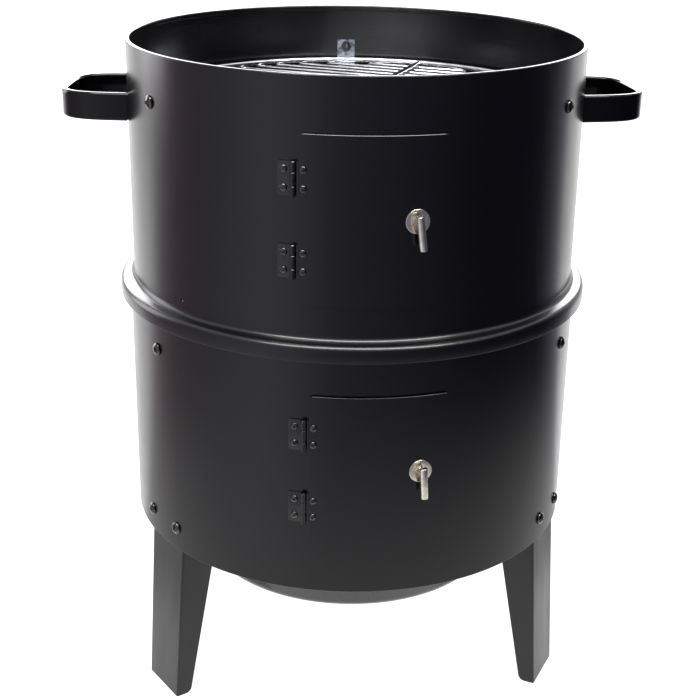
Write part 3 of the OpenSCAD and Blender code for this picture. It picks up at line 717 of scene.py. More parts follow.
def split_solids(bm):
    """The separate solids of a bmesh, each in a bmesh of its own; the first is used up."""
    left = set(bm.faces)
    solids = []
    while left:
        group = set()
        wave = [next(iter(left))]
        while wave:
            face = wave.pop()
            if face in group:
                continue
            group.add(face)
            wave += [f for edge in face.edges for f in edge.link_faces if f not in group]
        left -= group
        solid = bmesh.new()
        verts = {v: solid.verts.new(v.co) for f in group for v in f.verts}
        for face in group:
            solid.faces.new([verts[v] for v in face.verts])
        solids.append(solid)
    bm.free()
    return solids


def hex_nut(bore_radius, across_flats=10 * MM, height=NUT_HEIGHT):
    """Chamfered hexagon nut with its outer face on the origin, reaching towards -Z."""
    flat = 0.97 * across_flats / 2
    steps = 48
    bm = bmesh.new()

    def hexagon(z_side):
        ring = []
        for i in range(steps):
            angle = math.tau * i / steps
            within = (angle + math.pi / 6) % (math.pi / 3) - math.pi / 6
            radius = across_flats / 2 / math.cos(within)
            fall = (radius - flat) * math.tan(math.radians(30))
            z = -fall if z_side > 0 else -height + fall
            ring.append(bm.verts.new((radius * math.cos(angle), radius * math.sin(angle), z)))
        return ring

    def circle(radius, z):
        return [bm.verts.new((radius * math.cos(math.tau * i / steps),
                              radius * math.sin(math.tau * i / steps), z)) for i in range(steps)]

    countersink = 1.12 * bore_radius
    rings = [circle(bore_radius, -height + 0.4 * MM), circle(countersink, -height),
             circle(flat, -height), hexagon(-1), hexagon(1), circle(flat, 0),
             circle(countersink, 0), circle(bore_radius, -0.4 * MM)]
    join_rings(bm, rings, closed=True)
    return finished_mesh("hex_nut", bm)


def bolts_and_nuts(places, grip, prefix, bolt_node, nut_node):
    """M6 bolts with their heads on the barrel wall and a nut each, grip below the wall's face."""
    tail = grip + NUT_HEIGHT + BOLT_TIP
    bolt = headed_bar(*BOLT_HEAD, BOLT_RADIUS, tail, threaded=tail - grip + 1 * MM)
    nut = hex_nut(BOLT_RADIUS)
    bm = bmesh.new()
    turned = random.Random(prefix)
    spins = [Matrix.Rotation(turned.uniform(0, math.tau), 4, "Z") for _ in places]
    stamp(bm, bolt, [place @ spin for place, spin in zip(places, spins)])
    piece(prefix + "_bolts", bm, bolt_node, black_nickel)
    bm = bmesh.new()
    sink = Matrix.Translation((0, 0, -grip))
    stamp(bm, nut, [place @ sink @ spin for place, spin in zip(places, spins)])
    piece(prefix + "_nuts", bm, nut_node, black_nickel)


# ---------- barrels ----------

def section_radius(section):
    """Outside radius of the upper or lower barrel."""
    sizes = bpy.context.scene.smoker_barrels
    return sizes.upper_radius if section == "upper" else sizes.lower_radius


def hinge_bearing(section):
    """Angle of a door's hinge axis."""
    return bearing(middle(section + "_hinge_pins"))


def door_height(section):
    """Height of the middle of a door."""
    return middle(section + "_door").z


def hinge_screw_places(section, distance):
    """The four screw places of a door's two hinges, at a distance from the hinge axis."""
    sizes = bpy.context.scene.smoker_doors
    angle = hinge_bearing(section) + distance / section_radius(section)
    middle_z = door_height(section)
    return [
        outward(angle, middle_z + side * sizes.hinge_offset + row * sizes.screw_pitch / 2)
        for side in SIDES for row in SIDES
    ]


def wall_cutter(section, bolt_places):
    """Cutter for a barrel's door opening, hinge screws and bolts."""
    sizes = bpy.context.scene.smoker_barrels
    radius = section_radius(section)
    half = sizes.opening_width / 2
    angle = hinge_bearing(section) + (sizes.opening_start + half) / radius
    outline = rounded_rectangle(2 * radius * math.sin(half / radius), sizes.opening_height,
                                sizes.opening_corner)
    cutter = bmesh.new()
    prism(cutter, outline, radius - 20 * MM, radius + 20 * MM,
          outward(angle, door_height(section)))
    wall = Matrix.Translation((0, 0, radius))
    screws = hinge_screw_places(section, -bpy.context.scene.smoker_doors.screw_distance)
    drill([place @ wall for place in screws], SCREW_HOLE, CUTTER_REACH, cutter)
    drill([place @ wall for place in bolt_places], BOLT_HOLE, CUTTER_REACH, cutter)
    return cutter


def seam_bead(bm, radius, sheet, angle, low, high):
    """Ground-down weld bead along the barrel, through the sheet and just proud of both faces."""
    wobble = random.Random(7)
    sections = []
    for height in rows(low, high, 6 * MM):
        proud = sheet / 2 + wobble.uniform(0.14, 0.24) * MM
        half_width = wobble.uniform(1.3, 1.7) * MM
        place = outward(angle, height, radius - sheet / 2)
        sections.append([place @ Vector((half_width * x, 0, proud * y))
                         for x, y in arc(0, 0, 1, 0, 360, 12)[:-1]])
    loft(bm, sections)


def bracket_bolt_places(level):
    """Bolt places of the top brackets, which hold the upper grate, or of the pan's mid brackets."""
    above = bpy.context.scene.smoker_wires.bracket_above
    nodes = [f"{level}_bracket_{side}" for side in BRACKET_SIDES]
    return [outward(bearing(middle(node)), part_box(node)[1].z - above) for node in nodes]


def leg_bearings():
    """Angles of the three legs by name."""
    angle = bpy.context.scene.smoker_legs.bearing
    return {"left": -angle, "right": angle, "rear": math.pi}


def leg_bolt_places():
    """Two bolt places for each leg."""
    sizes = bpy.context.scene.smoker_legs
    return [outward(angle + side * sizes.bolt_turn, sizes.bolt_height)
            for angle in leg_bearings().values() for side in SIDES]


def build_upper_barrel():
    """Upper barrel: one rolled sheet with a curled rim, a door opening and its drilled holes."""
    sizes = bpy.context.scene.smoker_barrels
    radius = sizes.upper_radius
    inner = radius - sizes.sheet
    low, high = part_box("upper_barrel")
    hem_low = high.z - sizes.rim_height
    corner = sizes.rim_corner
    hem_in = radius - sizes.rim_width
    edge = sizes.sheet / 2
    wall = rows(low.z + edge, hem_low, WALL_STEP)
    profile = arc(inner + edge, low.z + edge, edge, 180, 360, 6)[:-1]
    profile += [(radius, z) for z in wall]
    profile += arc(radius - corner, high.z - corner, corner, 0, 90, 5)
    profile += arc(hem_in + corner, high.z - corner, corner, 90, 180, 5)
    profile += arc(hem_in + corner, hem_low + corner, corner, 180, 270, 5)
    profile += [(inner, z) for z in reversed(wall[1:])]
    bm = bmesh.new()
    revolve(bm, profile, steps=BARREL_STEPS, closed=True)
    cutter = wall_cutter("upper", bracket_bolt_places("top"))
    pinholes = [outward(math.radians(angle), 421 * MM, 0) @ Matrix.Translation((0, 0, radius))
                for angle in (-52.6, -50.1)]
    drill(pinholes, 1.5 * MM, CUTTER_REACH, cutter)
    drill(grip_screw_places(), 2.2 * MM, 16 * MM, cutter)
    bm = cut(bm, cutter)
    seam_bead(bm, radius, sizes.sheet, sizes.upper_seam, low.z + edge, hem_low)
    piece("barrel_upper", bm, "upper_barrel", barrel_coat, round_wall=True)


def build_lower_barrel():
    """Lower barrel: one rolled sheet with rounded cut edges, a door opening and its holes."""
    sizes = bpy.context.scene.smoker_barrels
    radius = sizes.lower_radius
    inner = radius - sizes.sheet
    low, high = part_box("lower_barrel")
    edge = sizes.sheet / 2
    wall = rows(low.z + edge, high.z - edge, WALL_STEP)
    profile = arc(inner + edge, low.z + edge, edge, 180, 360, 6)[:-1]
    profile += [(radius, z) for z in wall]
    profile += arc(inner + edge, high.z - edge, edge, 0, 180, 6)[1:]
    profile += [(inner, z) for z in reversed(wall[1:-1])]
    bm = bmesh.new()
    revolve(bm, profile, steps=BARREL_STEPS, closed=True)
    bm = cut(bm, wall_cutter("lower", bracket_bolt_places("mid") + leg_bolt_places()))
    seam_bead(bm, radius, sizes.sheet, sizes.lower_seam, low.z + edge, high.z - edge)
    piece("barrel_lower", bm, "lower_barrel", barrel_coat, round_wall=True)


def build_collar():
    """Pressed collar: fillet, sloping top, round shoulder and a thin skirt."""
    sizes = bpy.context.scene.smoker_barrels
    low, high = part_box("joint_collar")
    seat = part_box("lower_barrel")[1].z
    slope = math.degrees(sizes.collar_slope)
    shoulder = sizes.collar_shoulder
    corner_r = sizes.collar_radius - shoulder
    skirt_in = sizes.collar_radius - sizes.sheet
    inside = shoulder - sizes.sheet
    lip = sizes.sheet / 2
    profile = arc(sizes.upper_radius + sizes.collar_root, high.z, sizes.collar_root,
                  180, 270 - slope, 10)
    profile += arc(corner_r, seat + sizes.collar_crown - shoulder, shoulder, 90 - slope, 0, 12)
    profile += arc(skirt_in + lip, low.z + lip, lip, 0, -180, 6)
    profile += arc(corner_r, seat - inside, inside, 0, 90, 8)
    profile.append((sizes.upper_radius, seat))
    bm = bmesh.new()
    revolve(bm, profile, steps=BARREL_STEPS, closed=True)
    piece("collar", bm, "joint_collar", barrel_coat)


# ---------- doors, hinges and latches ----------

def build_door(section):
    """Door: a sheet with round corners and soft edges, rolled to the barrel's curve."""
    sizes = bpy.context.scene.smoker_doors
    sheet = bpy.context.scene.smoker_barrels.sheet
    radius = section_radius(section)
    across = sizes.gap + sizes.width / 2
    outline = [(across + x, y) for x, y in rounded_rectangle(sizes.width, sizes.height,
                                                              sizes.corner)]
    bm = bmesh.new()
    prism(bm, outline, sizes.lift, sizes.lift + sheet)
    round_edges(bm, 0.32 * MM, steps=1)
    latch = bearing(middle(section + "_latch_washer")) - hinge_bearing(section)
    latch_up = middle(section + "_latch_washer").z - door_height(section)
    cutter = drill([Matrix.Translation((latch * radius, latch_up, 0))],
                   sizes.spindle_radius + SPINDLE_PLAY, CUTTER_REACH)
    screws = [Matrix.Translation((sizes.screw_distance,
                                  side * sizes.hinge_offset + row * sizes.screw_pitch / 2, 0))
              for side in SIDES for row in SIDES]
    drill(screws, SCREW_HOLE, CUTTER_REACH, cutter)
    bm = cut(bm, cutter)
    roll_up(bm, radius, hinge_bearing(section), door_height(section))
    piece("door_" + section, bm, section + "_door", barrel_coat, round_wall=True)


def hinge_axis_place(section, height):
    """Place on a door's hinge axis, with +Z up."""
    pins = middle(section + "_hinge_pins")
    return Matrix.Translation((pins.x, pins.y, height))


def knuckle(bm, place, low, high, radius, bore):
    """One rolled knuckle with softened ends, round a pin."""
    soft = 0.3 * MM
    profile = [(bore, low), (radius - soft, low), (radius, low + soft),
               (radius, high - soft), (radius - soft, high), (bore, high)]
    revolve(bm, profile, place, steps=32, closed=True)


def leaf_outline(free_end, height, knuckle_side):
    """Outline of a leaf, from its free end over the upper corners of its knuckle side and back."""
    corner = 1.6 * MM
    start, centre = (180, free_end + corner) if free_end < 0 else (0, free_end - corner)
    upper = arc(centre, height / 2 - corner, corner, start, 90, 5) + knuckle_side
    return upper + [(x, -y) for x, y in reversed(upper)]


def build_hinges(section):
    """Two butt hinges: leaves rolled to the barrel, interleaved knuckles, pins and screws."""
    sizes = bpy.context.scene.smoker_doors
    sheet = bpy.context.scene.smoker_barrels.sheet
    radius = section_radius(section)
    axis = hinge_bearing(section)
    middle_z = door_height(section)
    heights = [middle_z + side * sizes.hinge_offset for side in SIDES]
    half = sizes.hinge_height / 2
    leaf_height = sizes.hinge_height - 0.6 * MM
    outer_low = half - sizes.knuckle_height
    inner_half = outer_low - 0.25 * MM

    frame_leaves = bmesh.new()
    door_leaves = bmesh.new()
    pins = bmesh.new()
    for height in heights:
        place = hinge_axis_place(section, height)
        leaf = bmesh.new()
        notch = outer_low + 0.1 * MM
        outline = leaf_outline(-sizes.leaf_reach, leaf_height,
                               [(-1 * MM, leaf_height / 2), (-1 * MM, notch), (-2.6 * MM, notch)])
        prism(leaf, outline, 0, sizes.frame_leaf)
        round_edges(leaf, 0.2 * MM)
        roll_up(leaf, radius, axis, height)
        stamp(frame_leaves, finished_mesh("leaf", leaf), [Matrix.Identity(4)])
        for low, high in ((-half, -outer_low), (outer_low, half)):
            knuckle(frame_leaves, place, low, high, sizes.knuckle_radius, sizes.pin_radius)
        leaf = bmesh.new()
        outline = leaf_outline(sizes.leaf_reach, leaf_height,
                               [(2.9 * MM, leaf_height / 2), (2.9 * MM, inner_half),
                                (1 * MM, inner_half)])
        prism(leaf, outline, sizes.lift - sizes.door_leaf, sizes.lift)
        roll_up(leaf, radius, axis, height)
        stamp(door_leaves, finished_mesh("leaf", leaf), [Matrix.Identity(4)])
        knuckle(door_leaves, place, -inner_half, inner_half, sizes.knuckle_radius,
                sizes.pin_radius + 0.06 * MM)
        dome = 0.5 * MM
        revolve(pins, [(0, -half), (sizes.pin_radius - dome, -half),
                       (sizes.pin_radius, -half + dome), (sizes.pin_radius, half - dome),
                       (sizes.pin_radius - dome, half), (0, half)], place, steps=24)
    piece("hinge_frame_leaves_" + section, frame_leaves, section + "_hinge_frame_leaves",
          black_hardware)
    piece("hinge_door_leaves_" + section, door_leaves, section + "_hinge_door_leaves",
          black_hardware)
    piece("hinge_pin_pair_" + section, pins, section + "_hinge_pins", black_hardware)

    turned = random.Random(section)
    for kind, distance, seat, tail in (
            ("frame", -sizes.screw_distance, sizes.frame_leaf, FRAME_SCREW_TAIL),
            ("door", sizes.screw_distance, sizes.lift + sheet, DOOR_SCREW_TAIL)):
        screw = headed_bar(*SCREW_HEAD, SCREW_RADIUS, tail + seat, threaded=tail - 1 * MM)
        on_wall = Matrix.Translation((0, 0, radius + seat))
        bm = bmesh.new()
        stamp(bm, screw, [place @ on_wall @ Matrix.Rotation(turned.uniform(0, 6), 4, "Z")
                          for place in hinge_screw_places(section, distance)])
        piece(f"hinge_{kind}_screw_set_{section}", bm, f"{section}_hinge_{kind}_screws",
              black_nickel)


def build_latch(section):
    """Latch: washer, spindle with its round lever bar, tongue and nut."""
    sizes = bpy.context.scene.smoker_doors
    sheet = bpy.context.scene.smoker_barrels.sheet
    radius = section_radius(section)
    washer = middle(section + "_latch_washer")
    place = outward(bearing(washer), washer.z)
    tilt = Matrix.Rotation(getattr(sizes, section + "_tilt"), 4, "Z")

    low = radius + sizes.lift + sheet
    high = low + sizes.washer_thickness
    soft = 0.45 * MM
    bore = sizes.spindle_radius + SPINDLE_PLAY
    bm = bmesh.new()
    profile = [(bore, low), (sizes.washer_radius, low)]
    profile += arc(sizes.washer_radius - soft, high - soft, soft, 0, 90, 4)
    profile += arc(bore + soft, high - soft, soft, 90, 180, 3)
    revolve(bm, profile, place, steps=64, closed=True)
    piece("latch_washer_" + section, bm, section + "_latch_washer", latch_steel)

    face = radius + 1.05 * MM
    bar_out = radius + sizes.lever_distance
    tip = radius - 7.5 * MM
    thread = 3 * MM
    bm = bmesh.new()
    profile = [(0, tip), (thread - 0.4 * MM, tip)]
    profile += [(thread - 0.35 * MM * (i % 2), z)
                for i, z in enumerate(rows(tip + 0.5 * MM, face - 0.5 * MM, 0.5 * MM))]
    profile += [(thread, face), (sizes.spindle_radius, face), (sizes.spindle_radius, bar_out),
                (0, bar_out)]
    revolve(bm, profile, place @ tilt, steps=32)
    chamfer = 0.5 * MM
    bar = sizes.lever_radius
    end = sizes.lever_length
    top = Matrix.Translation((0, sizes.lever_above, bar_out)) @ Matrix.Rotation(math.pi / 2, 4, "X")
    profile = [(0, 0), (bar - chamfer, 0)]
    profile += arc(bar - chamfer, chamfer, chamfer, -90, 0, 3)[1:]
    profile += arc(bar - chamfer, end - chamfer, chamfer, 0, 90, 3)
    profile += [(0, end)]
    revolve(bm, profile, place @ tilt @ top, steps=40)
    piece("latch_bar_" + section, bm, section + "_latch_lever", latch_steel)

    thick, drop = 2 * MM, 3.75 * MM
    hub, crank, tongue = 7 * MM, 10.5 * MM, 21 * MM
    half_width = 6 * MM
    outline = [(face, hub), (face - thick, hub), (face - thick, -hub),
               (face - thick - drop, -crank), (face - thick - drop, -tongue),
               (face - drop, -tongue), (face - drop, -crank + 1 * MM), (face, -hub + 1 * MM)]
    bm = bmesh.new()
    side_on = Matrix(((0, 0, 1, 0), (0, 1, 0, 0), (1, 0, 0, 0), (0, 0, 0, 1)))
    prism(bm, outline, -half_width, half_width, place @ tilt @ side_on)
    round_edges(bm, 0.35 * MM, sharper=70)
    bm = cut(bm, drill([place @ tilt @ Matrix.Translation((0, 0, radius))], thread + 0.05 * MM,
                       8 * MM))
    piece("latch_tongue_plate_" + section, bm, section + "_latch_tongue", zinc_plate)

    bm = bmesh.new()
    stamp(bm, hex_nut(thread), [place @ tilt @ Matrix.Translation((0, 0, face - thick))])
    piece("latch_nut_hex_" + section, bm, section + "_latch_nut", zinc_plate)


# ---------- handles ----------

GRIP_SCREW_RADIUS = 2 * MM
GRIP_SCREW_LENGTH = 24 * MM
GRIP_HEAD = (4 * MM, 2.6 * MM)


def handle_frame(angle):
    """Frame of a handle: +X away from the barrel, +Z up."""
    return Matrix.Rotation(angle - math.pi / 2, 4, "Z")


def grip_screw_places(angle=None):
    """Screw places of one handle or both, pointing out of the barrel along +Z."""
    sizes = bpy.context.scene.smoker_handles
    barrels = bpy.context.scene.smoker_barrels
    side = sizes.half_width - sizes.thickness / 2
    inner = barrels.upper_radius - barrels.sheet
    seat = math.sqrt(inner ** 2 - (side + GRIP_HEAD[0]) ** 2)
    low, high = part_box("handle_left")
    height = (low.z + high.z) / 2
    angles = (sizes.left_bearing, sizes.right_bearing) if angle is None else (angle,)
    return [handle_frame(a) @ Matrix.Translation((seat, y, height))
            @ Matrix.Rotation(math.pi / 2, 4, "Y")
            for a in angles for y in (-side, side)]


def strap_outline(sizes, height):
    """Cross-section of the strap as (out, up, groove share) points, from its outer face round."""
    half_t = sizes.thickness / 2
    half_h = height / 2
    corner = sizes.corner
    points = [(half_t, z) for z in rows(-half_h + corner, half_h - corner, 0.9 * MM)]
    points += arc(half_t - corner, half_h - corner, corner, 0, 90, 6)[1:]
    points += arc(-half_t + corner, half_h - corner, corner, 90, 180, 6)
    points += arc(-half_t + corner, -half_h + corner, corner, 180, 270, 6)
    points += arc(half_t - corner, -half_h + corner, corner, 270, 360, 6)[:-1]
    outline = []
    for out, up in points:
        depth = 0.0
        if out > 0 and abs(up) < sizes.groove_half:
            depth = math.cos(math.pi * up / (2 * sizes.groove_half)) ** 2
        outline.append((out, up, depth))
    return outline


def build_handle(name, node, angle):
    """Loop handle: a rounded strap bent to a rounded square, waisted round its end."""
    sizes = bpy.context.scene.smoker_handles
    wall = bpy.context.scene.smoker_barrels.upper_radius
    low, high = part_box(node)
    height = high.z - low.z
    centre_z = (high.z + low.z) / 2
    squareness = 3.8
    reach = sizes.reach - sizes.root - sizes.thickness / 2
    side = sizes.half_width - sizes.thickness / 2
    outline = strap_outline(sizes, height)
    steps = 44

    def loop_point(a):
        c, s = math.cos(a), math.sin(a)
        return Vector((sizes.root + reach * abs(c) ** (2 / squareness),
                       side * math.copysign(abs(s) ** (2 / squareness), s)))

    def strap_end(sign, gap, inset):
        shrink = 1 - inset / (sizes.thickness / 2)
        section = []
        for out, up, _ in outline:
            y = sign * (side + out * shrink)
            z = centre_z + up * (1 - inset / (height / 2))
            section.append(Vector((math.sqrt(wall ** 2 - y ** 2) + gap, y, z)))
        return section

    # From the wall out: a sunk neck, a step up to full size, then the loop itself
    ends = [(-0.4 * MM, sizes.neck), (0.9 * MM, sizes.neck), (1.0 * MM, 0.35 * MM),
            (1.3 * MM, 0.0)]
    sections = [strap_end(-1, gap, inset) for gap, inset in ends]
    for i in range(-steps, steps + 1):
        a = math.radians(88) * i / steps
        point = loop_point(a)
        ahead = (loop_point(a + 0.004) - loop_point(a - 0.004)).normalized()
        out_dir = Vector((ahead.y, -ahead.x))
        groove = 1 - smooth_step(sizes.groove_reach - 4 * MM, sizes.groove_reach + 6 * MM,
                                 abs(point.y))
        section = []
        for out, up, depth in outline:
            away = out - sizes.groove_depth * depth * groove
            at = point + out_dir * away
            section.append(Vector((at.x, at.y, centre_z + up)))
        sections.append(section)
    sections += [strap_end(1, gap, inset) for gap, inset in reversed(ends)]
    bm = bmesh.new()
    loft(bm, sections)
    bmesh.ops.transform(bm, matrix=handle_frame(angle), verts=bm.verts)
    piece(name, bm, node, handle_plastic, smooth=40)


def build_grip_screws():
    """The four screws that hold the handles, driven from inside the barrel."""
    screw = headed_bar(*GRIP_HEAD, GRIP_SCREW_RADIUS, GRIP_SCREW_LENGTH)
    flip = Matrix.Rotation(math.pi, 4, "X")
    bm = bmesh.new()
    stamp(bm, screw, [place @ flip for place in grip_screw_places()])
    piece("grip_screws", bm, "handle_screws", black_nickel)


# ---------- legs ----------

def leg_section(sizes, height, lower_edge):
    """Channel outline of a leg at a height: (out, across) points."""
    lean = min(1.0, height / sizes.bend_height)
    spread = min(1.0, height / lower_edge)
    out = sizes.foot_out + (sizes.top_out - sizes.foot_out) * lean
    flange = sizes.foot_flange + (sizes.top_flange - sizes.foot_flange) * lean
    half = (sizes.foot_width + (sizes.top_width - sizes.foot_width) * spread) / 2
    inner = out - flange
    corner = sizes.foot_corner
    if height < corner:
        inner += corner - math.sqrt(corner ** 2 - (corner - height) ** 2)
    bend, steel, soft = sizes.bend, sizes.steel, 0.3 * MM
    tight = bend - steel
    upper = [(inner + soft, half - steel), (inner, half - steel + soft), (inner, half - soft),
             (inner + soft, half)]
    outer_fold = arc(out - bend, half - bend, bend, 90, 0, 6)
    inner_fold = arc(out - bend, half - bend, tight, 90, 0, 5)
    one_side = upper + outer_fold
    outline = one_side + [(x, -y) for x, y in reversed(one_side)]
    return outline + [(x, -y) for x, y in inner_fold] + inner_fold[::-1]


def build_leg(side, angle):
    """Folded channel leg: tapered, splayed, with rounded folds and foot corners."""
    sizes = bpy.context.scene.smoker_legs
    node = "leg_" + side
    lower_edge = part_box("lower_barrel")[0].z
    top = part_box(node)[1].z
    corner = sizes.foot_corner
    heights = [corner * (1 - math.cos(math.radians(a))) for a in (0, 20, 38, 55, 72, 90)]
    heights += rows(corner, sizes.bend_height, 20 * MM)[1:] + [lower_edge, top]
    place = Matrix.Rotation(angle - math.pi / 2, 4, "Z")
    bm = bmesh.new()
    loft(bm, [[place @ Vector((x, y, height)) for x, y in leg_section(sizes, height, lower_edge)]
              for height in heights])
    wall = Matrix.Translation((0, 0, sizes.top_out))
    holes = [outward(angle + s * sizes.bolt_turn, sizes.bolt_height) @ wall for s in SIDES]
    bm = cut(bm, drill(holes, BOLT_HOLE, CUTTER_REACH))
    piece("channel_leg_" + side, bm, node, leg_coat)


# ---------- brackets ----------

def build_bracket(node, angle, wall_radius):
    """Folded bracket: an upright plate with its bolt hole and a ledge."""
    sizes = bpy.context.scene.smoker_wires
    low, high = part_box(node)
    steel = sizes.bracket_steel
    bend = 1.3 * steel
    out = wall_radius - 0.25 * MM
    tip = out - sizes.bracket_ledge
    base = low.z
    outline = [(out, high.z), (out - steel, high.z)]
    outline += arc(out - bend, base + bend, bend - steel, 0, -90, 4)
    outline += [(tip, base + steel), (tip, base)]
    outline += arc(out - bend, base + bend, bend, -90, 0, 6)
    half = sizes.bracket_width / 2
    side_on = Matrix(((0, 0, 1, 0), (-1, 0, 0, 0), (0, 1, 0, 0), (0, 0, 0, 1)))
    place = Matrix.Rotation(angle, 4, "Z") @ side_on
    bm = bmesh.new()
    prism(bm, outline, -half, half, place)
    round_edges(bm, 0.2 * MM, sharper=70)
    hole = outward(angle, high.z - sizes.bracket_above, out)
    bm = cut(bm, drill([hole], BOLT_HOLE, 5 * MM))
    piece("plate_" + node, bm, node, zinc_plate)


# ---------- grates ----------

def wire(bm, start, end, radius, steps=18):
    """Straight wire with rounded ends."""
    axis = end - start
    place = Matrix.Translation(start) @ axis.to_track_quat("Z", "Y").to_matrix().to_4x4()
    run = axis.length
    soft = 0.6 * radius
    profile = [(0, 0)] + arc(radius - soft, soft, soft, -90, 0, 4)
    profile += arc(radius - soft, run - soft, soft, 0, 90, 4) + [(0, run)]
    revolve(bm, profile, place, steps)


def weld_blob(bm, centre, size):
    """Small flattened drop of weld metal."""
    place = Matrix.Translation(centre)
    profile = [(size[0] * x, size[1] * y) for x, y in arc(0, 0, 1, -90, 90, 6)]
    profile[0] = (0, profile[0][1])
    profile[-1] = (0, profile[-1][1])
    revolve(bm, profile, place, steps=10)


def build_grate(name, node, pitch, turned, finish):
    """Welded wire grate: a ring and a cross-bar on top of parallel rods."""
    sizes = bpy.context.scene.smoker_wires
    low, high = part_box(node)
    out = (high.x - low.x) / 2
    ring_r = out - sizes.ring / 2
    overlap = 0.3 * MM
    rod_z = low.z + sizes.rod / 2
    ring_z = low.z + sizes.rod + sizes.ring / 2 - overlap
    bar_z = low.z + sizes.rod + sizes.bar / 2 - overlap
    spin = Matrix.Rotation(turned, 4, "Z")
    bm = bmesh.new()
    revolve(bm, arc(ring_r, ring_z, sizes.ring / 2, 0, 360, 20)[:-1], steps=144, closed=True)
    wire(bm, spin @ Vector((0, -ring_r, bar_z)), spin @ Vector((0, ring_r, bar_z)),
         sizes.bar / 2)
    count = math.floor((ring_r - 6 * MM) / pitch + 0.5)
    drops = random.Random(node)
    for k in range(-count, count):
        y = (k + 0.5) * pitch
        half = math.sqrt(out ** 2 - (abs(y) + sizes.rod / 2) ** 2)
        wire(bm, spin @ Vector((-half, y, rod_z)), spin @ Vector((half, y, rod_z)),
             sizes.rod / 2)
        cross = math.sqrt(ring_r ** 2 - y ** 2)
        for x in (-cross, cross, 0):
            size = drops.uniform(2.0, 2.5) * MM
            contact = Vector((x, y, low.z + sizes.rod - overlap / 2))
            weld_blob(bm, spin @ contact, (size, 0.55 * size))
    piece(name, bm, node, finish, smooth=50)


# ---------- pan and bowl ----------

def rimmed_dish(sheet, bottom_r, low, corner, lean, rest, rim_r, roll):
    """Outline of a dish with a flat rim that ends in a roll, from the axis out and back."""
    degrees = math.degrees(lean)
    wall_low = low + corner * (1 - math.sin(lean))
    fillet = 3 * MM
    wall_top = bottom_r + corner * math.cos(lean) + (rest - wall_low) * math.tan(lean)
    roll_x = rim_r - roll
    meet = 180 + math.degrees(math.asin((roll - sheet) / roll))
    # The fillets between the wall and the flat rim touch both of their lines
    turn_by = (math.pi / 2 - lean) / 2
    outer_x = wall_top + fillet * math.tan(turn_by)
    inner_top = wall_top + (sheet - sheet / math.cos(lean) + sheet * (math.tan(lean) - 1))
    inner_r = fillet + sheet
    inner_x = inner_top + inner_r * math.tan(turn_by)
    profile = [(0, low), (bottom_r / 2, low), (bottom_r, low)]
    profile += arc(bottom_r, low + corner, corner, -90, -degrees, 8)[1:]
    profile += arc(outer_x, rest - fillet, fillet, 180 - degrees, 90, 5)
    profile += arc(roll_x, rest + roll, roll, -90, meet, 16)
    profile += arc(inner_x, rest + sheet - inner_r, inner_r, 90, 180 - degrees, 5)
    profile += arc(bottom_r, low + corner, corner - sheet, -degrees, -90, 8)
    profile += [(bottom_r / 2, low + sheet), (0, low + sheet)]
    return profile


def build_dish(name, node, bottom_r, corner, lean, roll, rest):
    """Pan or bowl pressed from one sheet."""
    sizes = bpy.context.scene.smoker_wires
    low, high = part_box(node)
    bm = bmesh.new()
    revolve(bm, rimmed_dish(sizes.dish, bottom_r, low.z, corner, lean, rest, high.x, roll),
            steps=144)
    piece(name, bm, node, enamel)


# ---------- stage ----------

def stage_plane(name, corners, material):
    """Flat surface that isn't part of the smoker."""
    mesh = bpy.data.meshes.new(name)
    mesh.from_pydata(corners, [], [tuple(range(len(corners)))])
    mesh.materials.append(material)
    obj = bpy.data.objects.new(name, mesh)
    bpy.context.scene.collection.objects.link(obj)


def plain_material(name, shade, glow=0.0):
    """Matt studio surface, which may glow like a lit table."""
    maker = FinishMaker(name)
    maker.ramp(maker.noise(3), 0.0, 1.0, tinted((shade,) * 3, 0.985), (shade,) * 3)
    maker.roughness(maker.noise(20), 0.85, 0.95)
    maker.even(Emission_Color=(1, 1, 1, 1), Emission_Strength=glow)
    return maker.material


NEAR_GLOW = 0.95
SCREEN_SHADES = (
    # angle round the smoker in degrees, then the red, green and blue glow of the far screen
    (-120, (1.10, 1.05, 1.15)),
    (-112, (0.62, 0.52, 0.60)),
    (-103, (0.48, 0.34, 0.38)),
    (-92, (0.38, 0.31, 0.35)),
    (-70, (0.50, 0.48, 0.55)),
    (-47, (0.75, 0.74, 0.86)),
    (-33, (0.66, 0.65, 0.76)),
    (-13, (0.28, 0.28, 0.36)),
    (20, (0.16, 0.16, 0.22)),
    (55, (0.05, 0.05, 0.08)),
    (96, (0.03, 0.03, 0.05)),
    (110, (0.22, 0.22, 0.28)),
    (120, (0.55, 0.55, 0.64)),
)


def shade_at(degrees, distance):
    """Glow of the screen at an angle round the smoker: white close by, then its own shade."""
    shade = SCREEN_SHADES[-1][1]
    for (a, first), (b, second) in zip(SCREEN_SHADES, SCREEN_SHADES[1:]):
        if degrees <= b:
            part = (degrees - a) / (b - a)
            shade = [x + (y - x) * part for x, y in zip(first, second)]
            break
    far = smooth_step(0.25, 1.1, distance)
    return [NEAR_GLOW * (1 - far) + channel * far for channel in shade]


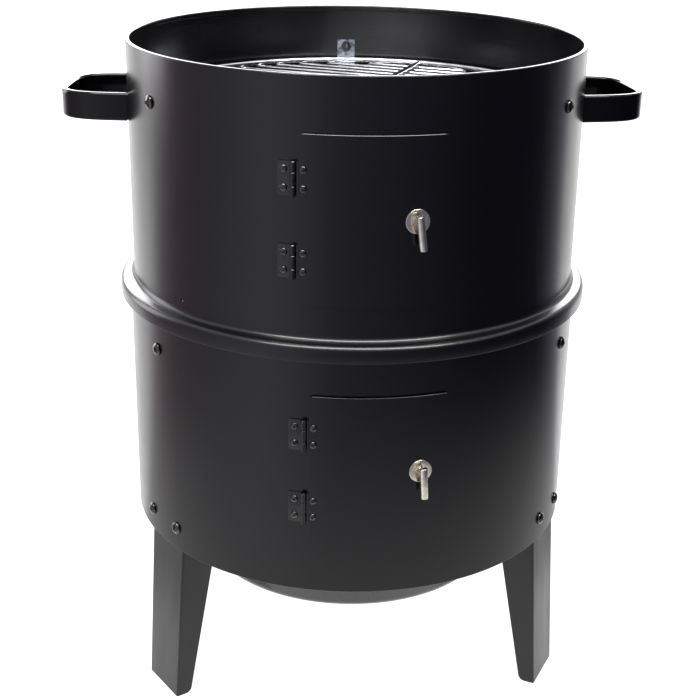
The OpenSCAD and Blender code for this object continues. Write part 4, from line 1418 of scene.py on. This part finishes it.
def build_screen(settings):
    """Curved studio screen round the front, seen only in reflections, dark on the right."""
    angles = rows(SCREEN_SHADES[0][0], SCREEN_SHADES[-1][0], 4)
    outline = [(r, 0.002) for r in rows(settings.screen_near, settings.screen_far - 0.5, 0.12)]
    outline += [(settings.screen_far, 0.5), (settings.screen_far, settings.screen_top)]
    points = [(r * math.sin(math.radians(a)), -r * math.cos(math.radians(a)), z)
              for a in angles for r, z in outline]
    wide = len(outline)
    faces = [(i * wide + j, i * wide + j + 1, (i + 1) * wide + j + 1, (i + 1) * wide + j)
             for i in range(len(angles) - 1) for j in range(wide - 1)]
    mesh = bpy.data.meshes.new("front_screen")
    mesh.from_pydata(points, [], faces)
    glow = mesh.color_attributes.new("glow", "FLOAT_COLOR", "POINT")
    for i, angle in enumerate(angles):
        for j, (distance, _) in enumerate(outline):
            glow.data[i * wide + j].color = (*shade_at(angle, distance), 1)
    material = bpy.data.materials.new("screen_glow")
    material.use_nodes = True
    tree = material.node_tree
    painted = tree.nodes.new("ShaderNodeVertexColor")
    painted.layer_name = glow.name
    shader = tree.nodes["Principled BSDF"]
    shader.inputs["Base Color"].default_value = (0, 0, 0, 1)
    shader.inputs["Specular IOR Level"].default_value = 0
    shader.inputs["Emission Strength"].default_value = 1
    tree.links.new(painted.outputs["Color"], shader.inputs["Emission Color"])
    mesh.materials.append(material)
    obj = bpy.data.objects.new("front_screen", mesh)
    obj.visible_camera = False
    bpy.context.scene.collection.objects.link(obj)


def area_light(name, place, target, size, power, tint=(1, 1, 1)):
    """Soft panel light aimed at a point."""
    light = bpy.data.lights.new(name, "AREA")
    light.shape = "RECTANGLE"
    light.size, light.size_y = size
    light.energy = power
    light.color = tint
    obj = bpy.data.objects.new(name, light)
    aim = Vector(target) - Vector(place)
    obj.matrix_world = (Matrix.Translation(place)
                        @ aim.to_track_quat("-Z", "Y").to_matrix().to_4x4())
    bpy.context.scene.collection.objects.link(obj)


# ---------- operators ----------

class SMOKER_OT_stage(Operator):
    """Sets up the camera, the pale floor, the soft lights and the dark screen in front"""
    bl_idname = "smoker.stage"
    bl_label = "Stage"

    def execute(self, context):
        settings = context.scene.smoker_stage
        camera = bpy.data.objects.new("camera", bpy.data.cameras.new("camera"))
        camera.data.lens = settings.lens
        camera.data.sensor_width = 36
        camera.matrix_world = (Matrix.Translation(settings.camera_place)
                               @ Matrix.Rotation(settings.camera_bearing, 4, "Z")
                               @ Matrix.Rotation(math.pi / 2 - settings.camera_tilt, 4, "X")
                               @ Matrix.Rotation(settings.camera_roll, 4, "Z"))
        context.scene.collection.objects.link(camera)
        context.scene.camera = camera
        context.scene.view_settings.view_transform = "Standard"

        world = bpy.data.worlds.new("even_sky")
        world.use_nodes = True
        world.node_tree.nodes["Background"].inputs["Strength"].default_value = settings.sky
        world.node_tree.nodes["Background"].inputs["Color"].default_value = (1, 1, 1, 1)
        context.scene.world = world

        white = plain_material("floor_white", settings.floor, glow=1.0)
        far = 12
        stage_plane("floor", [(-far, -far, 0), (far, -far, 0), (far, far, 0), (-far, far, 0)],
                    white)
        build_screen(settings)
        middle_z = CAD_BOX[1][2] / 2
        area_light("panel_back", (0, 4.2, 1.9), (0, 0, middle_z), (6.0, 1.8),
                   settings.back_light, (0.98, 0.985, 1.0))
        area_light("panel_left", (-1.9, 1.0, 0.9), (0, 0, middle_z), (0.9, 1.4),
                   settings.side_light, (1.0, 0.97, 1.0))
        area_light("panel_top", (0.0, -0.6, 2.3), (0, 0, middle_z), (2.2, 0.5),
                   settings.top_light)
        return {"FINISHED"}


class SMOKER_OT_barrels(Operator):
    """Builds the upper barrel, the lower barrel and the collar between them"""
    bl_idname = "smoker.barrels"
    bl_label = "Barrels and collar"

    def execute(self, context):
        build_upper_barrel()
        build_lower_barrel()
        build_collar()
        return {"FINISHED"}


class SMOKER_OT_doors(Operator):
    """Builds the two fuel doors"""
    bl_idname = "smoker.doors"
    bl_label = "Doors"

    def execute(self, context):
        for section in SECTIONS:
            build_door(section)
        return {"FINISHED"}


class SMOKER_OT_hinges(Operator):
    """Builds the hinges of both doors with their pins and screws"""
    bl_idname = "smoker.hinges"
    bl_label = "Hinges"

    def execute(self, context):
        for section in SECTIONS:
            build_hinges(section)
        return {"FINISHED"}


class SMOKER_OT_latches(Operator):
    """Builds the latches of both doors"""
    bl_idname = "smoker.latches"
    bl_label = "Latches"

    def execute(self, context):
        for section in SECTIONS:
            build_latch(section)
        return {"FINISHED"}


class SMOKER_OT_handles(Operator):
    """Builds the two loop handles and their screws"""
    bl_idname = "smoker.handles"
    bl_label = "Handles"

    def execute(self, context):
        sizes = context.scene.smoker_handles
        build_handle("loop_handle_left", "handle_left", sizes.left_bearing)
        build_handle("loop_handle_right", "handle_right", sizes.right_bearing)
        build_grip_screws()
        return {"FINISHED"}


class SMOKER_OT_legs(Operator):
    """Builds the three channel legs with their bolts and nuts"""
    bl_idname = "smoker.legs"
    bl_label = "Legs"

    def execute(self, context):
        for side, angle in leg_bearings().items():
            build_leg(side, angle)
        radius = context.scene.smoker_barrels.lower_radius
        wall = Matrix.Translation((0, 0, radius))
        bolts_and_nuts([place @ wall for place in leg_bolt_places()], radius - LEG_NUT_SEAT,
                       "leg_fixing", "leg_bolts", "leg_nuts")
        return {"FINISHED"}


class SMOKER_OT_brackets(Operator):
    """Builds the six brackets inside the barrels with their bolts and nuts"""
    bl_idname = "smoker.brackets"
    bl_label = "Brackets"

    def execute(self, context):
        barrels = context.scene.smoker_barrels
        steel = context.scene.smoker_wires.bracket_steel
        for level, section in (("top", "upper"), ("mid", "lower")):
            radius = section_radius(section)
            for side in BRACKET_SIDES:
                node = f"{level}_bracket_{side}"
                build_bracket(node, bearing(middle(node)), radius - barrels.sheet)
            wall = Matrix.Translation((0, 0, radius))
            grip = barrels.sheet + 0.25 * MM + steel
            bolts_and_nuts([place @ wall for place in bracket_bolt_places(level)], grip,
                           level + "_fixing", level + "_bracket_bolts", level + "_bracket_nuts")
        return {"FINISHED"}


class SMOKER_OT_grates(Operator):
    """Builds the two cooking grates and the charcoal grate"""
    bl_idname = "smoker.grates"
    bl_label = "Grates"

    def execute(self, context):
        sizes = context.scene.smoker_wires
        build_grate("cooking_grate_upper", "upper_grate", sizes.pitch, sizes.upper_turn,
                    chrome_wire)
        build_grate("cooking_grate_lower", "lower_grate", sizes.pitch, sizes.lower_turn,
                    chrome_wire)
        build_grate("fuel_grate", "charcoal_grate", sizes.fuel_pitch, sizes.upper_turn,
                    grate_iron)
        return {"FINISHED"}


class SMOKER_OT_dishes(Operator):
    """Builds the water pan and the charcoal bowl"""
    bl_idname = "smoker.dishes"
    bl_label = "Pan and bowl"

    def execute(self, context):
        sizes = context.scene.smoker_wires
        pan_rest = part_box("water_pan")[1].z - 2 * sizes.pan_roll
        build_dish("water_pan_dish", "water_pan", 142 * MM, 14 * MM, math.radians(38),
                   sizes.pan_roll, pan_rest)
        build_dish("charcoal_bowl_dish", "charcoal_bowl", 142 * MM, 10 * MM, math.radians(10.8),
                   sizes.bowl_roll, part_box("leg_left")[1].z)
        return {"FINISHED"}


OPERATORS = (
    SMOKER_OT_stage,
    SMOKER_OT_barrels,
    SMOKER_OT_doors,
    SMOKER_OT_hinges,
    SMOKER_OT_latches,
    SMOKER_OT_handles,
    SMOKER_OT_legs,
    SMOKER_OT_brackets,
    SMOKER_OT_grates,
    SMOKER_OT_dishes,
)


class SMOKER_PT_panel(Panel):
    """Buttons that build the smoker, in the order they are used"""
    bl_idname = "SMOKER_PT_panel"
    bl_label = "Water smoker"
    bl_space_type = "VIEW_3D"
    bl_region_type = "UI"
    bl_category = "Smoker"

    def draw(self, context):
        for operator in OPERATORS:
            self.layout.operator(operator.bl_idname)


GROUPS = {
    "smoker_barrels": SmokerBarrels,
    "smoker_doors": SmokerDoors,
    "smoker_handles": SmokerHandles,
    "smoker_legs": SmokerLegs,
    "smoker_wires": SmokerWires,
    "smoker_finishes": SmokerFinishes,
    "smoker_stage": SmokerStage,
}
CLASSES = (*GROUPS.values(), *OPERATORS, SMOKER_PT_panel)


def register():
    """Adds the classes and the scene's settings."""
    for cls in CLASSES:
        bpy.utils.register_class(cls)
    for name, group in GROUPS.items():
        setattr(bpy.types.Scene, name, PointerProperty(type=group))


def unregister():
    """Takes the settings and the classes away again."""
    for name in GROUPS:
        delattr(bpy.types.Scene, name)
    for cls in reversed(CLASSES):
        bpy.utils.unregister_class(cls)


def main():
    register()
    for operator in OPERATORS:
        group, name = operator.bl_idname.split(".")
        getattr(getattr(bpy.ops, group), name)()


if __name__ == "__main__":
    main()
